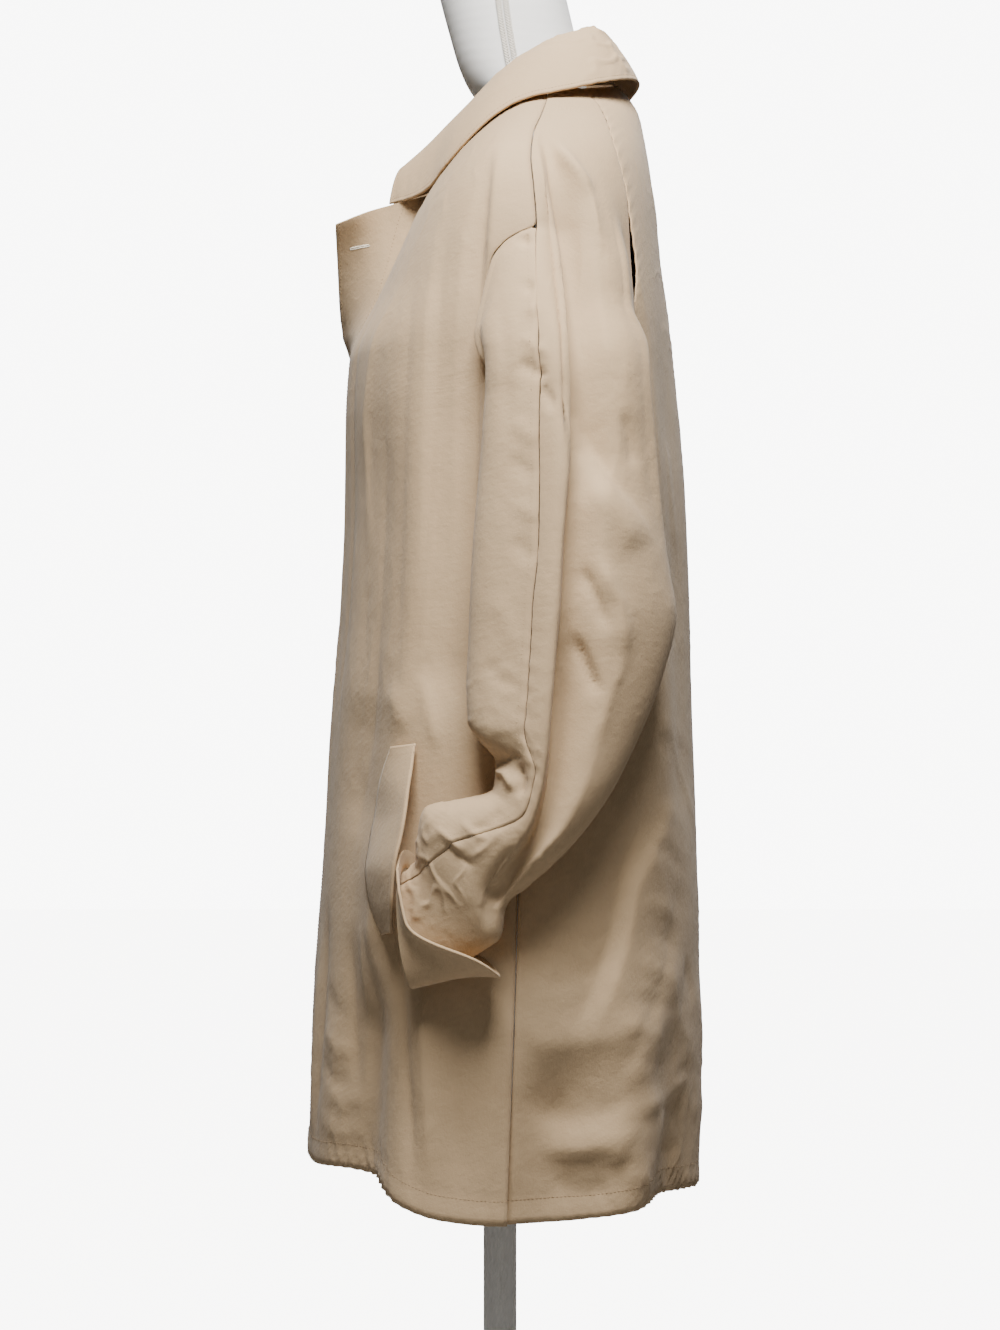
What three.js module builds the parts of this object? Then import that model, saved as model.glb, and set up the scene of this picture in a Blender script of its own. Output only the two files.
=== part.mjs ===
// A car coat with split raglan sleeves, hung on a limbless dress form that stands on a pole and a round
// plate. Millimetres, +Z up. +X is the wearer's left, the front faces -Y, and the origin is on the floor
// under the pole.
import * as THREE from "three";

// Driving sizes
const CLOTH = 1.6; // thickness of the cotton wall
const TWO_PLY = 2; // collar, cuffs and pocket welts are sewn double
const SEAM = 0.6; // gap between two pieces along a seam
const EDGE_PAST_CENTRE = 28; // how far each front runs past the centre line
const UNDERLAP_INSET = 2.6; // the right front lies this far inside the left one
const ARMPIT = 1062;
const CHEST_LEVEL = 1040; // front edge's height level with the armpit
const YOKE_LEVEL = 1130; // front edge's height level with the shoulder point
const BACK_YOKE_LEVEL = 1085; // centre back's height level with the armpit
const SHOULDER_POINT = 1183;
const NECK_POINT = 1320; // where the shoulder seam meets the collar
const NECK_BACK = 1335; // collar seam at the centre back
const TOP_BUTTON_BREAK = 1085; // above this height the front edge stands away from the chest
const BREAK_RUN = 40; // height over which it comes away
const SQUARE = 2.3; // exponent of the rounded body section
const HALF_GIRTH = 700; // cloth from centre front to centre back, for the width of folds

// How many cells each piece has along and across
const CELLS = { skirt: 13, armhole: 8, shoulder: 7, front: 13, back: 24 };
const PLACKET_COLUMNS = [0, 0.26, 0.52, 0.78, 1]; // shares of the placket's width
const SLEEVE_CELLS = { front: 8, back: 13, perStation: 1.75 };

// Rows of a table as objects with the named columns
const tableOf = (names, rows) =>
  rows.map((row) => Object.fromEntries(names.map((name, i) => [name, row[i]])));

// Section of the coat's body by height: half its width, the front and back, and the seam line at its side
const BODY = [
  { z: 400, half: 290, front: -163, side: 6, back: 161 },
  { z: 440, half: 288, front: -161, side: 7, back: 163 },
  { z: 510, half: 283, front: -159, side: 9, back: 166 },
  { z: 578, half: 279, front: -156, side: 11, back: 167 },
  { z: 646, half: 275, front: -151, side: 13, back: 166 },
  { z: 730, half: 270, front: -145, side: 15, back: 164 },
  { z: 815, half: 265, front: -139, side: 17, back: 161 },
  { z: 900, half: 260, front: -132, side: 20, back: 159 },
  { z: 968, half: 256, front: -129, side: 22, back: 156 },
  { z: 1044, half: 251, front: -130, side: 25, back: 151 },
  { z: 1095, half: 247, front: -127, side: 27, back: 146 },
  { z: 1150, half: 244, front: -102, side: 28, back: 139 },
  { z: 1183, half: 241, front: -87, side: 28, back: 135 },
  { z: 1215, half: 232, front: -72, side: 26, back: 132 },
  { z: 1240, half: 217, front: -57, side: 24, back: 129 },
  { z: 1262, half: 193, front: -41, side: 26, back: 126 },
  { z: 1285, half: 153, front: -22, side: 33, back: 122 },
  { z: 1305, half: 112, front: -4, side: 38, back: 118 },
  { z: 1320, half: 81, front: 10, side: 40, back: 111 },
  { z: 1335, half: 60, front: 20, side: 42, back: 97 },
];

// Height of the hem by turn round the body
const HEM = [
  { turn: 0, z: 440 },
  { turn: 0.12, z: 447 },
  { turn: 0.22, z: 456 },
  { turn: 0.27, z: 457 },
  { turn: 0.31, z: 451 },
  { turn: 0.36, z: 436 },
  { turn: 0.42, z: 424 },
  { turn: 0.5, z: 420 },
  { turn: 0.62, z: 423 },
  { turn: 0.74, z: 429 },
  { turn: 0.86, z: 424 },
  { turn: 1, z: 418 },
];

// Line of each front's free edge where it stands away from the chest
const LEFT_EDGE = [
  { z: 1085, x: -28, y: -131 },
  { z: 1120, x: -20, y: -134 },
  { z: 1154, x: -9, y: -136 },
  { z: 1218, x: 14, y: -137 },
];
const RIGHT_EDGE = [
  { z: 1085, x: -28, y: -124 },
  { z: 1120, x: -16, y: -119 },
  { z: 1154, x: 0, y: -114 },
  { z: 1218, x: 28, y: -107 },
];

// Neck seam of a front, from the placket's back edge to the shoulder seam, by turn round the body
const NECKLINE = [
  { z: 1237, turn: 0.0525 },
  { z: 1262, turn: 0.064 },
  { z: 1285, turn: 0.11 },
  { z: 1305, turn: 0.19 },
  { z: 1314, turn: 0.3 },
  { z: 1320, turn: 0.5 },
];
const NECK_CORNER = 1218; // height of the front edge's top corner
const PLACKET_TOP = 1237; // height of the neck seam at the placket's back edge
const PLACKET_BACK = 45; // distance of that edge from the centre line

// Front armhole seam, from the armpit to the shoulder point
const ARMHOLE = [
  { at: 0, z: 1062, turn: 0.5 },
  { at: 0.16, z: 1073, turn: 0.458 },
  { at: 0.33, z: 1098, turn: 0.43 },
  { at: 0.5, z: 1128, turn: 0.421 },
  { at: 0.7, z: 1156, turn: 0.427 },
  { at: 0.85, z: 1172, turn: 0.452 },
  { at: 0.93, z: 1179, turn: 0.478 },
  { at: 1, z: 1183, turn: 0.5 },
];

// Raglan seam on the back, from the neck to the armpit
const RAGLAN = [
  { at: 0, z: 1320, turn: 0.604 },
  { at: 0.12, z: 1300, turn: 0.66 },
  { at: 0.32, z: 1262, turn: 0.707 },
  { at: 0.5, z: 1212, turn: 0.74 },
  { at: 0.62, z: 1172, turn: 0.742 },
  { at: 0.75, z: 1133, turn: 0.726 },
  { at: 0.84, z: 1106, turn: 0.694 },
  { at: 0.92, z: 1082, turn: 0.622 },
  { at: 1, z: 1062, turn: 0.5 },
];

// Largest folds of the body cloth. Each runs from one turn and height to another and swells by its height.
// side is 1 for the wearer's left, -1 for the right and 0 for both
const FOLDS = tableOf(["name", "side", "turn", "z", "toTurn", "toZ", "width", "swell"], [
  ["hollow before the sleeve", 0, 0.385, 1120, 0.39, 850, 34, -9],
  ["ridge beside that hollow", 0, 0.315, 1130, 0.32, 760, 32, 3],
  ["chest drape", 0, 0.22, 1130, 0.23, 640, 36, -4],
  ["front hem hollow", 1, 0.27, 640, 0.255, 400, 40, -17],
  ["front hem hollow right", -1, 0.24, 600, 0.27, 400, 40, -14],
  ["front hem flute", 0, 0.37, 640, 0.38, 400, 42, 9],
  ["pocket swell", 0, 0.29, 720, 0.31, 620, 40, 8],
  ["side hem hollow", 0, 0.56, 560, 0.54, 400, 40, -9],
  ["back hem flute", 0, 0.66, 620, 0.67, 400, 44, 8],
  ["back drag fold", 0, 0.8, 640, 0.6, 480, 32, 6],
  ["lower drag fold", 1, 0.86, 540, 0.62, 430, 30, 5],
  ["back hollow", 0, 0.79, 560, 0.8, 400, 40, -10],
  ["back centre flute", 0, 0.9, 600, 0.91, 400, 42, 5],
  ["shoulder blade drape", 0, 0.85, 1150, 0.85, 760, 40, -5],
]);

// Sleeve sections in order, as seen from the wearer's side: the front and back ends of each, how far along
// it the overarm seam lies, the middle's distance off the body, the cloth's reach outwards and inwards from
// the middle, and the deep fold that runs down behind the overarm seam.
const SLEEVE_ENDS = ["frontY", "frontZ", "backY", "backZ", "seam"];
const SLEEVE = tableOf([...SLEEVE_ENDS, "middle", "out", "inn", "fold", "foldAt"], [
  [-7, 1050, 97, 1050, 0.34, 20, 32, 9, 22, 0.53],
  [-12, 984, 101, 982, 0.35, 22, 34, 15, 24, 0.52],
  [-15, 924, 108, 908, 0.33, 24, 35, 17, 25, 0.49],
  [-17, 880, 111, 880, 0.31, 25, 35, 18, 25, 0.47],
  [-19, 834, 100, 832, 0.33, 25, 36, 18, 24, 0.49],
  [-18, 800, 85, 784, 0.35, 25, 36, 18, 22, 0.52],
  [-1, 770, 66, 739, 0.36, 25, 35, 18, 18, 0.56],
  [-3, 750, 44, 703, 0.42, 25, 33, 18, 14, 0.64],
  [-27, 742, 18, 676, 0.4, 24, 31, 17, 10, 0.74],
  [-44, 736, 5, 662, 0.4, 24, 28, 15, 7, 0.78],
  [-49, 714, 3, 640, 0.26, 24, 24, 12, 4, 0.74],
  [-50, 698, -12, 627, 0.16, 23, 19, 10, 0, 0.74],
  [-60, 686, -54, 602, 0.12, 20, 14, 8, 0, 0.74],
]);

const RIM_OFF = 2; // how far a sleeve's rim lies off the body's cloth at the armpit
const TIP = 0.15; // the cap's tip is cut off this far towards its first row

// Turned-back cuff, from its end edge to its free rim: the sleeve station at its front and back, how far it
// stands off the sleeve, and how far its back hangs down
const CUFF = [
  { front: 12, back: 12, off: 3.6, droop: 0 },
  { front: 11.9, back: 11.6, off: 5.4, droop: 2 },
  { front: 11.8, back: 11.25, off: 7.6, droop: 4 },
  { front: 11.7, back: 10.9, off: 9.6, droop: 5 },
];
const CUFF_CELLS = 22;

// Slanted pocket welt from top to bottom: its sewn edge, its free edge, and how far the cuff lifts the free
// edge
const WELT = [
  { sewnY: -81, sewnZ: 782, freeY: -62, freeZ: 785, lift: 2 },
  { sewnY: -94, sewnZ: 745, freeY: -66, freeZ: 755, lift: 22 },
  { sewnY: -99, sewnZ: 712, freeY: -71, freeZ: 722, lift: 40 },
  { sewnY: -99, sewnZ: 688, freeY: -74, freeZ: 698, lift: 44 },
  { sewnY: -94, sewnZ: 660, freeY: -76, freeZ: 670, lift: 40 },
  { sewnY: -84, sewnZ: 636, freeY: -77, freeZ: 641, lift: 24 },
];
const WELT_CELLS = { along: 9, across: 3 };

// Collar from the centre back to its front end: the fold line and the free edge of the leaf
const COLLAR = tableOf(["at", "foldX", "foldY", "foldZ", "rimX", "rimY", "rimZ"], [
  [0, 0, 78, 1384, 0, 119, 1335],
  [0.2, 50, 76, 1376, 78, 103, 1327],
  [0.38, 68, 42, 1363, 118, 47, 1310],
  [0.44, 63, 22, 1352, 119, 20, 1305],
  [0.5, 57, 2, 1340, 116, -7, 1290],
  [0.65, 46, -25, 1314, 102, -39, 1260],
  [0.8, 34, -45, 1296, 70, -63, 1236],
  [0.89, 25, -58, 1284, 51, -77, 1232],
  [1, 12, -81, 1266, 31, -93, 1231],
]);
const BACK_MIRRORED = { ...COLLAR[1], at: -COLLAR[1].at, foldX: -COLLAR[1].foldX, rimX: -COLLAR[1].rimX };
const LEAF_ROUND = 8; // how far the leaf bows up and out beside its fold
const COLLAR_CELLS = { along: 22, stand: 2, leaf: 5 };
const COLLAR_END = 0.7; // where the collar ends on the placket, as a share of its width from the front edge
const STAND_TOP = 0.86; // the stand stops below the fold, where the leaf begins
const STAND_CLEAR = 1.5; // the stand rises this far inside and above the neck edge

// Dress form by height: half its width, its front and its back
const FORM = [
  { z: 600, half: 158, front: -88, back: 102 },
  { z: 640, half: 170, front: -97, back: 118 },
  { z: 720, half: 172, front: -100, back: 122 },
  { z: 800, half: 160, front: -94, back: 108 },
  { z: 880, half: 143, front: -84, back: 90 },
  { z: 960, half: 148, front: -92, back: 92 },
  { z: 1040, half: 163, front: -106, back: 100 },
  { z: 1090, half: 172, front: -106, back: 106 },
  { z: 1140, half: 180, front: -88, back: 108 },
  { z: 1190, half: 186, front: -66, back: 108 },
  { z: 1228, half: 189, front: -46, back: 104 },
  { z: 1248, half: 187, front: -34, back: 96 },
  { z: 1258, half: 182, front: -27, back: 88 },
];
const FORM_SHOULDER = [1264, 1277, 1290, 1301]; // rings that follow the coat's own shoulder
const FORM_GAP = 2.3; // between the form's shoulder and the cloth on it
const FORM_NECK = [
  { z: 1314, half: 62, front: -8, back: 78 },
  { z: 1330, half: 56, front: -24, back: 74 },
  { z: 1350, half: 54, front: -34, back: 70 },
  { z: 1380, half: 52, front: -43, back: 63 },
  { z: 1410, half: 51, front: -51, back: 56 },
  { z: 1440, half: 50, front: -58, back: 49 },
];
const FORM_CELLS = 28;
const NECK_PLATE = { thick: 5, radius: 46, forward: -4.5, sides: 32 };
const POLE = { radius: 14, sides: 24 };
const BASE = { radius: 176, thick: 9, edge: 3, hub: 26, hubHeight: 22, sides: 40 };
const TOP_BUTTON = { radius: 11, thick: 3.6, down: 26, sides: 20 };

const CLOTH_COLOUR = "#bfa789";
const finish = (color, roughness) => new THREE.MeshStandardMaterial({ color, roughness, metalness: 0 });
const materials = {
  cloth: finish(CLOTH_COLOUR, 0.85),
  button: finish("#6d5843", 0.4),
  form: finish("#e9e7e2", 0.9),
  steel: finish("#e4e3e0", 0.45),
};

const lerp = THREE.MathUtils.lerp;
const smooth = (x, low, high) => THREE.MathUtils.smoothstep(x, low, high);

// A smooth curve through one named column of a table, which never overshoots its rows
function columnOf(rows, key, name) {
  const x = rows.map((row) => row[key]);
  const y = rows.map((row) => row[name]);
  const last = x.length - 1;
  const rise = x.slice(1).map((end, i) => (y[i + 1] - y[i]) / (end - x[i]));
  const slope = x.map((_, i) => {
    if (i === 0) return rise[0];
    if (i === last) return rise[last - 1];
    if (rise[i - 1] * rise[i] <= 0) return 0;
    return (2 * rise[i - 1] * rise[i]) / (rise[i - 1] + rise[i]);
  });
  const forward = x[last] > x[0];
  return (at) => {
    if (forward ? at <= x[0] : at >= x[0]) return y[0] + slope[0] * (at - x[0]);
    if (forward ? at >= x[last] : at <= x[last]) return y[last] + slope[last] * (at - x[last]);
    let i = 0;
    while (forward ? at > x[i + 1] : at < x[i + 1]) i += 1;
    const run = x[i + 1] - x[i];
    const s = (at - x[i]) / run;
    const s2 = s * s;
    const s3 = s2 * s;
    return (
      (2 * s3 - 3 * s2 + 1) * y[i] +
      (s3 - 2 * s2 + s) * run * slope[i] +
      (3 * s2 - 2 * s3) * y[i + 1] +
      (s3 - s2) * run * slope[i + 1]
    );
  };
}

// Every column of a table as such a curve
function curvesOf(rows, key) {
  const names = Object.keys(rows[0]).filter((name) => name !== key && typeof rows[0][name] === "number");
  return Object.fromEntries(names.map((name) => [name, columnOf(rows, key, name)]));
}

const body = curvesOf(BODY, "z");
const armhole = curvesOf(ARMHOLE, "at");
const raglan = curvesOf(RAGLAN, "at");
const neckTurn = columnOf(NECKLINE, "z", "turn");
const sleeve = curvesOf(SLEEVE.map((row, station) => ({ ...row, station })), "station");
const hemHeight = columnOf(HEM, "turn", "z");
const collarAt = curvesOf([BACK_MIRRORED, ...COLLAR], "at");
const weltAt = curvesOf(WELT.map((row, step) => ({ ...row, step: step / (WELT.length - 1) })), "step");

// Body

// A turn runs from 0 at the centre front by 0.5 at the wearer's left side to 1 at the centre back. Below 0
// and above 1 it is on the right, so a pair of numbers names any point of the body.
function sideOf(turn) {
  if (turn < 0) return { side: -1, along: -turn };
  if (turn > 1) return { side: -1, along: 2 - turn };
  return { side: 1, along: turn };
}

// Plain section of the body: a rounded loop that is deeper behind than in front
function loopPoint(turn, z) {
  const { side, along } = sideOf(turn);
  const angle = Math.PI * along;
  const middle = body.side(z);
  const depth = (angle < Math.PI / 2 ? body.front(z) : body.back(z)) - middle;
  return new THREE.Vector3(
    side * body.half(z) * Math.sin(angle) ** (2 / SQUARE),
    middle + depth * Math.abs(Math.cos(angle)) ** (2 / SQUARE),
    z,
  );
}

// Outward direction of the plain section
function loopNormal(turn, z) {
  const step = 1e-3;
  const across = loopPoint(turn + step, z).sub(loopPoint(turn - step, z));
  const up = loopPoint(turn, z + 1).sub(loopPoint(turn, z - 1));
  return across.cross(up).normalize();
}

// How far the folds carry the cloth outwards
function swellAt(turn, z) {
  const { side, along } = sideOf(turn);
  let swell = 0;
  for (const fold of FOLDS) {
    if (fold.side !== 0 && fold.side !== side) continue;
    const runX = (fold.toTurn - fold.turn) * HALF_GIRTH;
    const runZ = fold.toZ - fold.z;
    const x = (along - fold.turn) * HALF_GIRTH;
    const share = (x * runX + (z - fold.z) * runZ) / (runX * runX + runZ * runZ);
    const held = THREE.MathUtils.clamp(share, 0, 1);
    const away = Math.hypot(x - held * runX, z - fold.z - held * runZ) / fold.width;
    const fading = smooth(share, -0.1, 0.35);
    swell += fold.swell * fading * Math.exp(-away * away);
  }
  return swell;
}

const bodyPoint = (turn, z) => loopPoint(turn, z).addScaledVector(loopNormal(turn, z), swellAt(turn, z));

// The turn of the left side's point at a distance y along the body
function turnAt(y, z) {
  const middle = body.side(z);
  const depth = (y < middle ? body.front(z) : body.back(z)) - middle;
  const share = Math.min(1, Math.max(0, (y - middle) / depth));
  const angle = Math.acos(share ** (SQUARE / 2)) / Math.PI;
  return y < middle ? angle : 1 - angle;
}

// A point that lies off the left side's cloth by a distance
function offBody(y, z, off) {
  const turn = turnAt(y, z);
  return bodyPoint(turn, z).addScaledVector(loopNormal(turn, z), off);
}

// Walls

// Outward directions of a grid of points, from the neighbours of each
function gridNormals(grid, closed) {
  const rows = grid.length;
  const columns = grid[0].length;
  return grid.map((row, j) =>
    row.map((_, i) => {
      const before = closed ? (i + columns - 1) % columns : Math.max(0, i - 1);
      const after = closed ? (i + 1) % columns : Math.min(columns - 1, i + 1);
      const across = row[after].clone().sub(row[before]);
      const up = grid[Math.min(rows - 1, j + 1)][i].clone().sub(grid[Math.max(0, j - 1)][i]);
      return across.cross(up).normalize();
    }),
  );
}

// Draws the rim of a grid in by half a seam gap, square to the rim, so that two pieces that share a line
// stay apart
function drawIn(grid, closed) {
  const rows = grid.length;
  const columns = grid[0].length;
  const moved = grid.map((row) => row.map((point) => point.clone()));
  const pull = (point, from, towards, before, after) => {
    const along = after.clone().sub(before).normalize();
    const away = towards.clone().sub(from);
    away.addScaledVector(along, -away.dot(along)).normalize();
    point.addScaledVector(away, SEAM / 2);
  };
  for (const [j, next] of [[0, 1], [rows - 1, rows - 2]]) {
    for (let i = 0; i < columns; i += 1) {
      const before = grid[j][closed ? (i + columns - 1) % columns : Math.max(0, i - 1)];
      const after = grid[j][closed ? (i + 1) % columns : Math.min(columns - 1, i + 1)];
      pull(moved[j][i], grid[j][i], grid[next][i], before, after);
    }
  }
  if (closed) return moved;
  for (const [i, next] of [[0, 1], [columns - 1, columns - 2]]) {
    for (let j = 0; j < rows; j += 1) {
      const before = grid[Math.max(0, j - 1)][i];
      const after = grid[Math.min(rows - 1, j + 1)][i];
      pull(moved[j][i], grid[j][i], grid[j][next], before, after);
    }
  }
  return moved;
}

// A closed wall from a grid of outer points: the inner points lie one thickness behind them. Rows run from
// the bottom up and columns run so that across × up points outwards. normals gives each point's direction.
function wall(name, grid, options = {}) {
  const { thick = CLOTH, closed = false, mirror = false, material = materials.cloth } = options;
  const normals = options.normals ?? gridNormals(grid, closed);
  const outer = drawIn(grid, closed);
  const rows = grid.length;
  const columns = grid[0].length;
  const points = [];
  for (const layer of [0, 1]) {
    outer.forEach((row, j) =>
      row.forEach((point, i) => {
        points.push(point.clone().addScaledVector(normals[j][i], -layer * thick));
      }),
    );
  }
  const cell = columns * rows;
  const at = (layer, j, i) => layer * cell + j * columns + (i % columns);
  const faces = [];
  const quad = (a, b, c, d) => faces.push([a, b, c], [a, c, d]);
  const across = closed ? columns : columns - 1;
  for (let j = 0; j < rows - 1; j += 1) {
    for (let i = 0; i < across; i += 1) {
      quad(at(0, j, i), at(0, j, i + 1), at(0, j + 1, i + 1), at(0, j + 1, i));
      quad(at(1, j, i + 1), at(1, j, i), at(1, j + 1, i), at(1, j + 1, i + 1));
    }
  }
  for (let i = 0; i < across; i += 1) {
    quad(at(1, 0, i), at(1, 0, i + 1), at(0, 0, i + 1), at(0, 0, i));
    quad(at(0, rows - 1, i), at(0, rows - 1, i + 1), at(1, rows - 1, i + 1), at(1, rows - 1, i));
  }
  for (let j = 0; !closed && j < rows - 1; j += 1) {
    quad(at(1, j, 0), at(0, j, 0), at(0, j + 1, 0), at(1, j + 1, 0));
    quad(at(0, j, columns - 1), at(1, j, columns - 1), at(1, j + 1, columns - 1), at(0, j + 1, columns - 1));
  }
  return meshOf(name, points, faces, mirror, material);
}

// A mesh from points and faces, on the right side of the body when mirrored
function meshOf(name, points, faces, mirror, material) {
  const flat = points.flatMap((point) => [mirror ? -point.x : point.x, point.y, point.z]);
  const geometry = new THREE.BufferGeometry();
  geometry.setAttribute("position", new THREE.Float32BufferAttribute(flat, 3));
  geometry.setIndex(faces.flatMap(([a, b, c]) => (mirror ? [a, c, b] : [a, b, c])));
  geometry.computeVertexNormals();
  const mesh = new THREE.Mesh(geometry, material);
  mesh.name = name;
  return mesh;
}

// Shared seams, so that the pieces on both sides have the same points

const steps = (cells) => Array.from({ length: cells + 1 }, (_, i) => i / cells);
const armholeSeam = (at) => ({ turn: armhole.turn(at), z: armhole.z(at) });
const raglanSeam = (at) => ({ turn: raglan.turn(at), z: raglan.z(at) });
const shoulderRise = (at) => 1 - (1 - at) ** 1.6;
const shoulderHeight = (at) => lerp(SHOULDER_POINT, NECK_POINT, shoulderRise(at));
const RAGLAN_CAP = 0.6; // share of the raglan seam that lies level with the shoulder seam
const CAP_CELLS = CELLS.armhole + 1; // the last one runs from the armpit to the first full sleeve section

// Front panels

// Where the front's free edge is, and where its placket joins the chest
function placketPoint(edge, underlap, share, z) {
  const inset = underlap * (1 - smooth(share, 0.78, 1));
  const half = body.half(z);
  const turnFor = (x) => (Math.asin((Math.abs(x) / half) ** (SQUARE / 2)) / Math.PI) * Math.sign(x);
  const onLoop = bodyPoint(turnFor(lerp(-EDGE_PAST_CENTRE, PLACKET_BACK, share)), z);
  onLoop.y += inset;
  const free = new THREE.Vector3(edge.x(z), edge.y(z), z);
  const joined = bodyPoint(turnFor(PLACKET_BACK), z);
  const standing = free.lerp(joined, share);
  return onLoop.lerp(standing, smooth(z, TOP_BUTTON_BREAK, TOP_BUTTON_BREAK + BREAK_RUN));
}

// Turn and height on a front, from the placket's back edge (0) to its side (1), for one of its rows
function frontRow(row) {
  const { skirt, armhole: arm, shoulder } = CELLS;
  const turn0 = (z) => Math.asin((PLACKET_BACK / body.half(z)) ** (SQUARE / 2)) / Math.PI;
  if (row <= skirt) {
    const share = row / skirt;
    return (u) => {
      const low = hemHeight(lerp(turn0(HEM[0].z), 0.5, u));
      const z = lerp(low, lerp(CHEST_LEVEL, ARMPIT, u), share);
      return { turn: lerp(turn0(z), 0.5, u), z };
    };
  }
  if (row <= skirt + arm) {
    const at = (row - skirt) / arm;
    const seam = armholeSeam(at);
    return (u) => {
      const z = lerp(lerp(CHEST_LEVEL, YOKE_LEVEL, at), seam.z, u);
      return { turn: lerp(turn0(z), seam.turn, u), z };
    };
  }
  const at = (row - skirt - arm) / shoulder;
  return (u) => {
    const level = lerp(YOKE_LEVEL, SHOULDER_POINT, u);
    const neck = lerp(PLACKET_TOP, NECK_POINT, u ** 0.8);
    const rise = shoulderRise(at);
    const z = lerp(level, neck, rise);
    return { turn: lerp(lerp(turn0(z), 0.5, u), neckTurn(neck), rise), z };
  };
}

// Height of a front's free edge for one of its rows
function edgeHeight(row) {
  const { skirt, armhole: arm, shoulder } = CELLS;
  if (row <= skirt) return lerp(HEM[0].z, CHEST_LEVEL, row / skirt);
  if (row <= skirt + arm) return lerp(CHEST_LEVEL, YOKE_LEVEL, (row - skirt) / arm);
  return lerp(YOKE_LEVEL, NECK_CORNER, (row - skirt - arm) / shoulder);
}

function frontGrid(edgeTable, inset) {
  const edge = curvesOf(edgeTable, "z");
  const rows = CELLS.skirt + CELLS.armhole + CELLS.shoulder;
  return Array.from({ length: rows + 1 }, (_, row) => {
    const place = frontRow(row);
    const start = place(0);
    const placket = PLACKET_COLUMNS.map((share) =>
      placketPoint(edge, inset, share, lerp(edgeHeight(row), start.z, share)),
    );
    const chest = steps(CELLS.front).slice(1).map((u) => {
      const { turn, z } = place(u);
      return bodyPoint(turn, z);
    });
    return [...placket, ...chest];
  });
}

// Directions of a front's wall: the body's own on the chest, and the cloth's on the placket
function frontNormals(grid) {
  const normals = gridNormals(grid, false);
  normals.forEach((row, j) => {
    const place = frontRow(j);
    for (let i = 1; i <= CELLS.front; i += 1) {
      const { turn, z } = place(i / CELLS.front);
      row[PLACKET_COLUMNS.length - 1 + i] = loopNormal(turn, z);
    }
  });
  return normals;
}

function frontPanel(name, edgeTable, inset, mirror) {
  const grid = frontGrid(edgeTable, inset);
  return wall(name, grid, { mirror, normals: frontNormals(grid) });
}

// Back panel

// The left edge of the back for one of its rows, and the row's height from that edge (0) to the centre (1)
function backRow(row) {
  const { skirt, armhole: cap, shoulder } = CELLS;
  if (row <= skirt) {
    const height = (towards) => {
      const low = hemHeight(lerp(0.5, 1, towards));
      return lerp(low, lerp(ARMPIT, BACK_YOKE_LEVEL, smooth(towards, 0, 1)), row / skirt);
    };
    return { turn: 0.5, height };
  }
  const at = (row - skirt) / (cap + shoulder);
  const seam = raglanSeam(raglanShare(shoulder + cap - (row - skirt)));
  const centre = lerp(BACK_YOKE_LEVEL, NECK_BACK, at);
  return { turn: seam.turn, height: (towards) => lerp(seam.z, centre, towards) };
}

// Share of the raglan seam for a row of the back sleeve, counted from the neck
function raglanShare(row) {
  const { shoulder, armhole: cap } = CELLS;
  if (row <= shoulder) return (RAGLAN_CAP * row) / shoulder;
  return lerp(RAGLAN_CAP, 1, (row - shoulder) / cap);
}

function backPanel() {
  const rows = CELLS.skirt + CELLS.armhole + CELLS.shoulder;
  const places = Array.from({ length: rows + 1 }, (_, row) => {
    const { turn: edge, height } = backRow(row);
    return steps(CELLS.back).map((share) => {
      const towards = 1 - Math.abs(2 * share - 1);
      const along = lerp(edge, 1, towards);
      return { turn: share <= 0.5 ? along : 2 - along, z: height(towards) };
    });
  });
  const grid = places.map((row) => row.map(({ turn, z }) => bodyPoint(turn, z)));
  const normals = places.map((row) => row.map(({ turn, z }) => loopNormal(turn, z)));
  return wall("back", grid, { normals });
}

// Sleeves

// A sleeve section is a flattened ring laid on the body's side. The angle is 0 at its front end, a quarter
// turn on its outer face, and half a turn at its back end.
function sleevePoint(station, angle, { extra = 0, droop = 0, folded = true } = {}) {
  const share = (1 - Math.cos(angle)) / 2;
  const spanY = sleeve.backY(station) - sleeve.frontY(station);
  const spanZ = sleeve.backZ(station) - sleeve.frontZ(station);
  const long = Math.hypot(spanY, spanZ);
  const stretch = (share - 0.5) * (1 + (2 * extra) / long) + 0.5 + (share * droop) / long;
  const y = sleeve.frontY(station) + spanY * stretch;
  const z = sleeve.frontZ(station) + spanZ * stretch;
  const reach = Math.sin(angle) > 0 ? sleeve.out(station) : sleeve.inn(station);
  const off = sleeve.middle(station) + (reach + extra) * Math.sin(angle);
  return offBody(y, z, off + (folded && Math.sin(angle) > 0 ? deepFold(station, share) : 0));
}

// The deep fold's swell on a section: a roll in front of it and the hollow
function deepFold(station, share) {
  const roll = (share - sleeve.foldAt(station) + 0.13) / 0.14;
  const hollow = (share - sleeve.foldAt(station) - 0.07) / 0.08;
  return sleeve.fold(station) * (0.45 * Math.exp(-roll * roll) - Math.exp(-hollow * hollow));
}

const seamAngle = (station) => Math.acos(1 - 2 * sleeve.seam(station));
const UNDERARM = -Math.PI / 2;

// Round the sleeve from the overarm seam (0) to the underarm seam (1), by the front or by the back
function sleeveAngle(station, share, behind) {
  const start = seamAngle(station);
  const end = behind ? UNDERARM + 2 * Math.PI : UNDERARM;
  return lerp(start, end, behind ? share ** 1.45 : share);
}

// The overarm seam above the first full section, from the shoulder point down
function capSeam(share) {
  const start = bodyPoint(0.5, SHOULDER_POINT);
  const end = sleevePoint(0, seamAngle(0), { folded: false });
  const curve = new THREE.CubicBezierCurve3(
    start,
    start.clone().add(new THREE.Vector3(17, -3, -26)),
    end.clone().add(new THREE.Vector3(0, 0, 52)),
    end,
  );
  return curve.getPoint(share);
}

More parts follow.
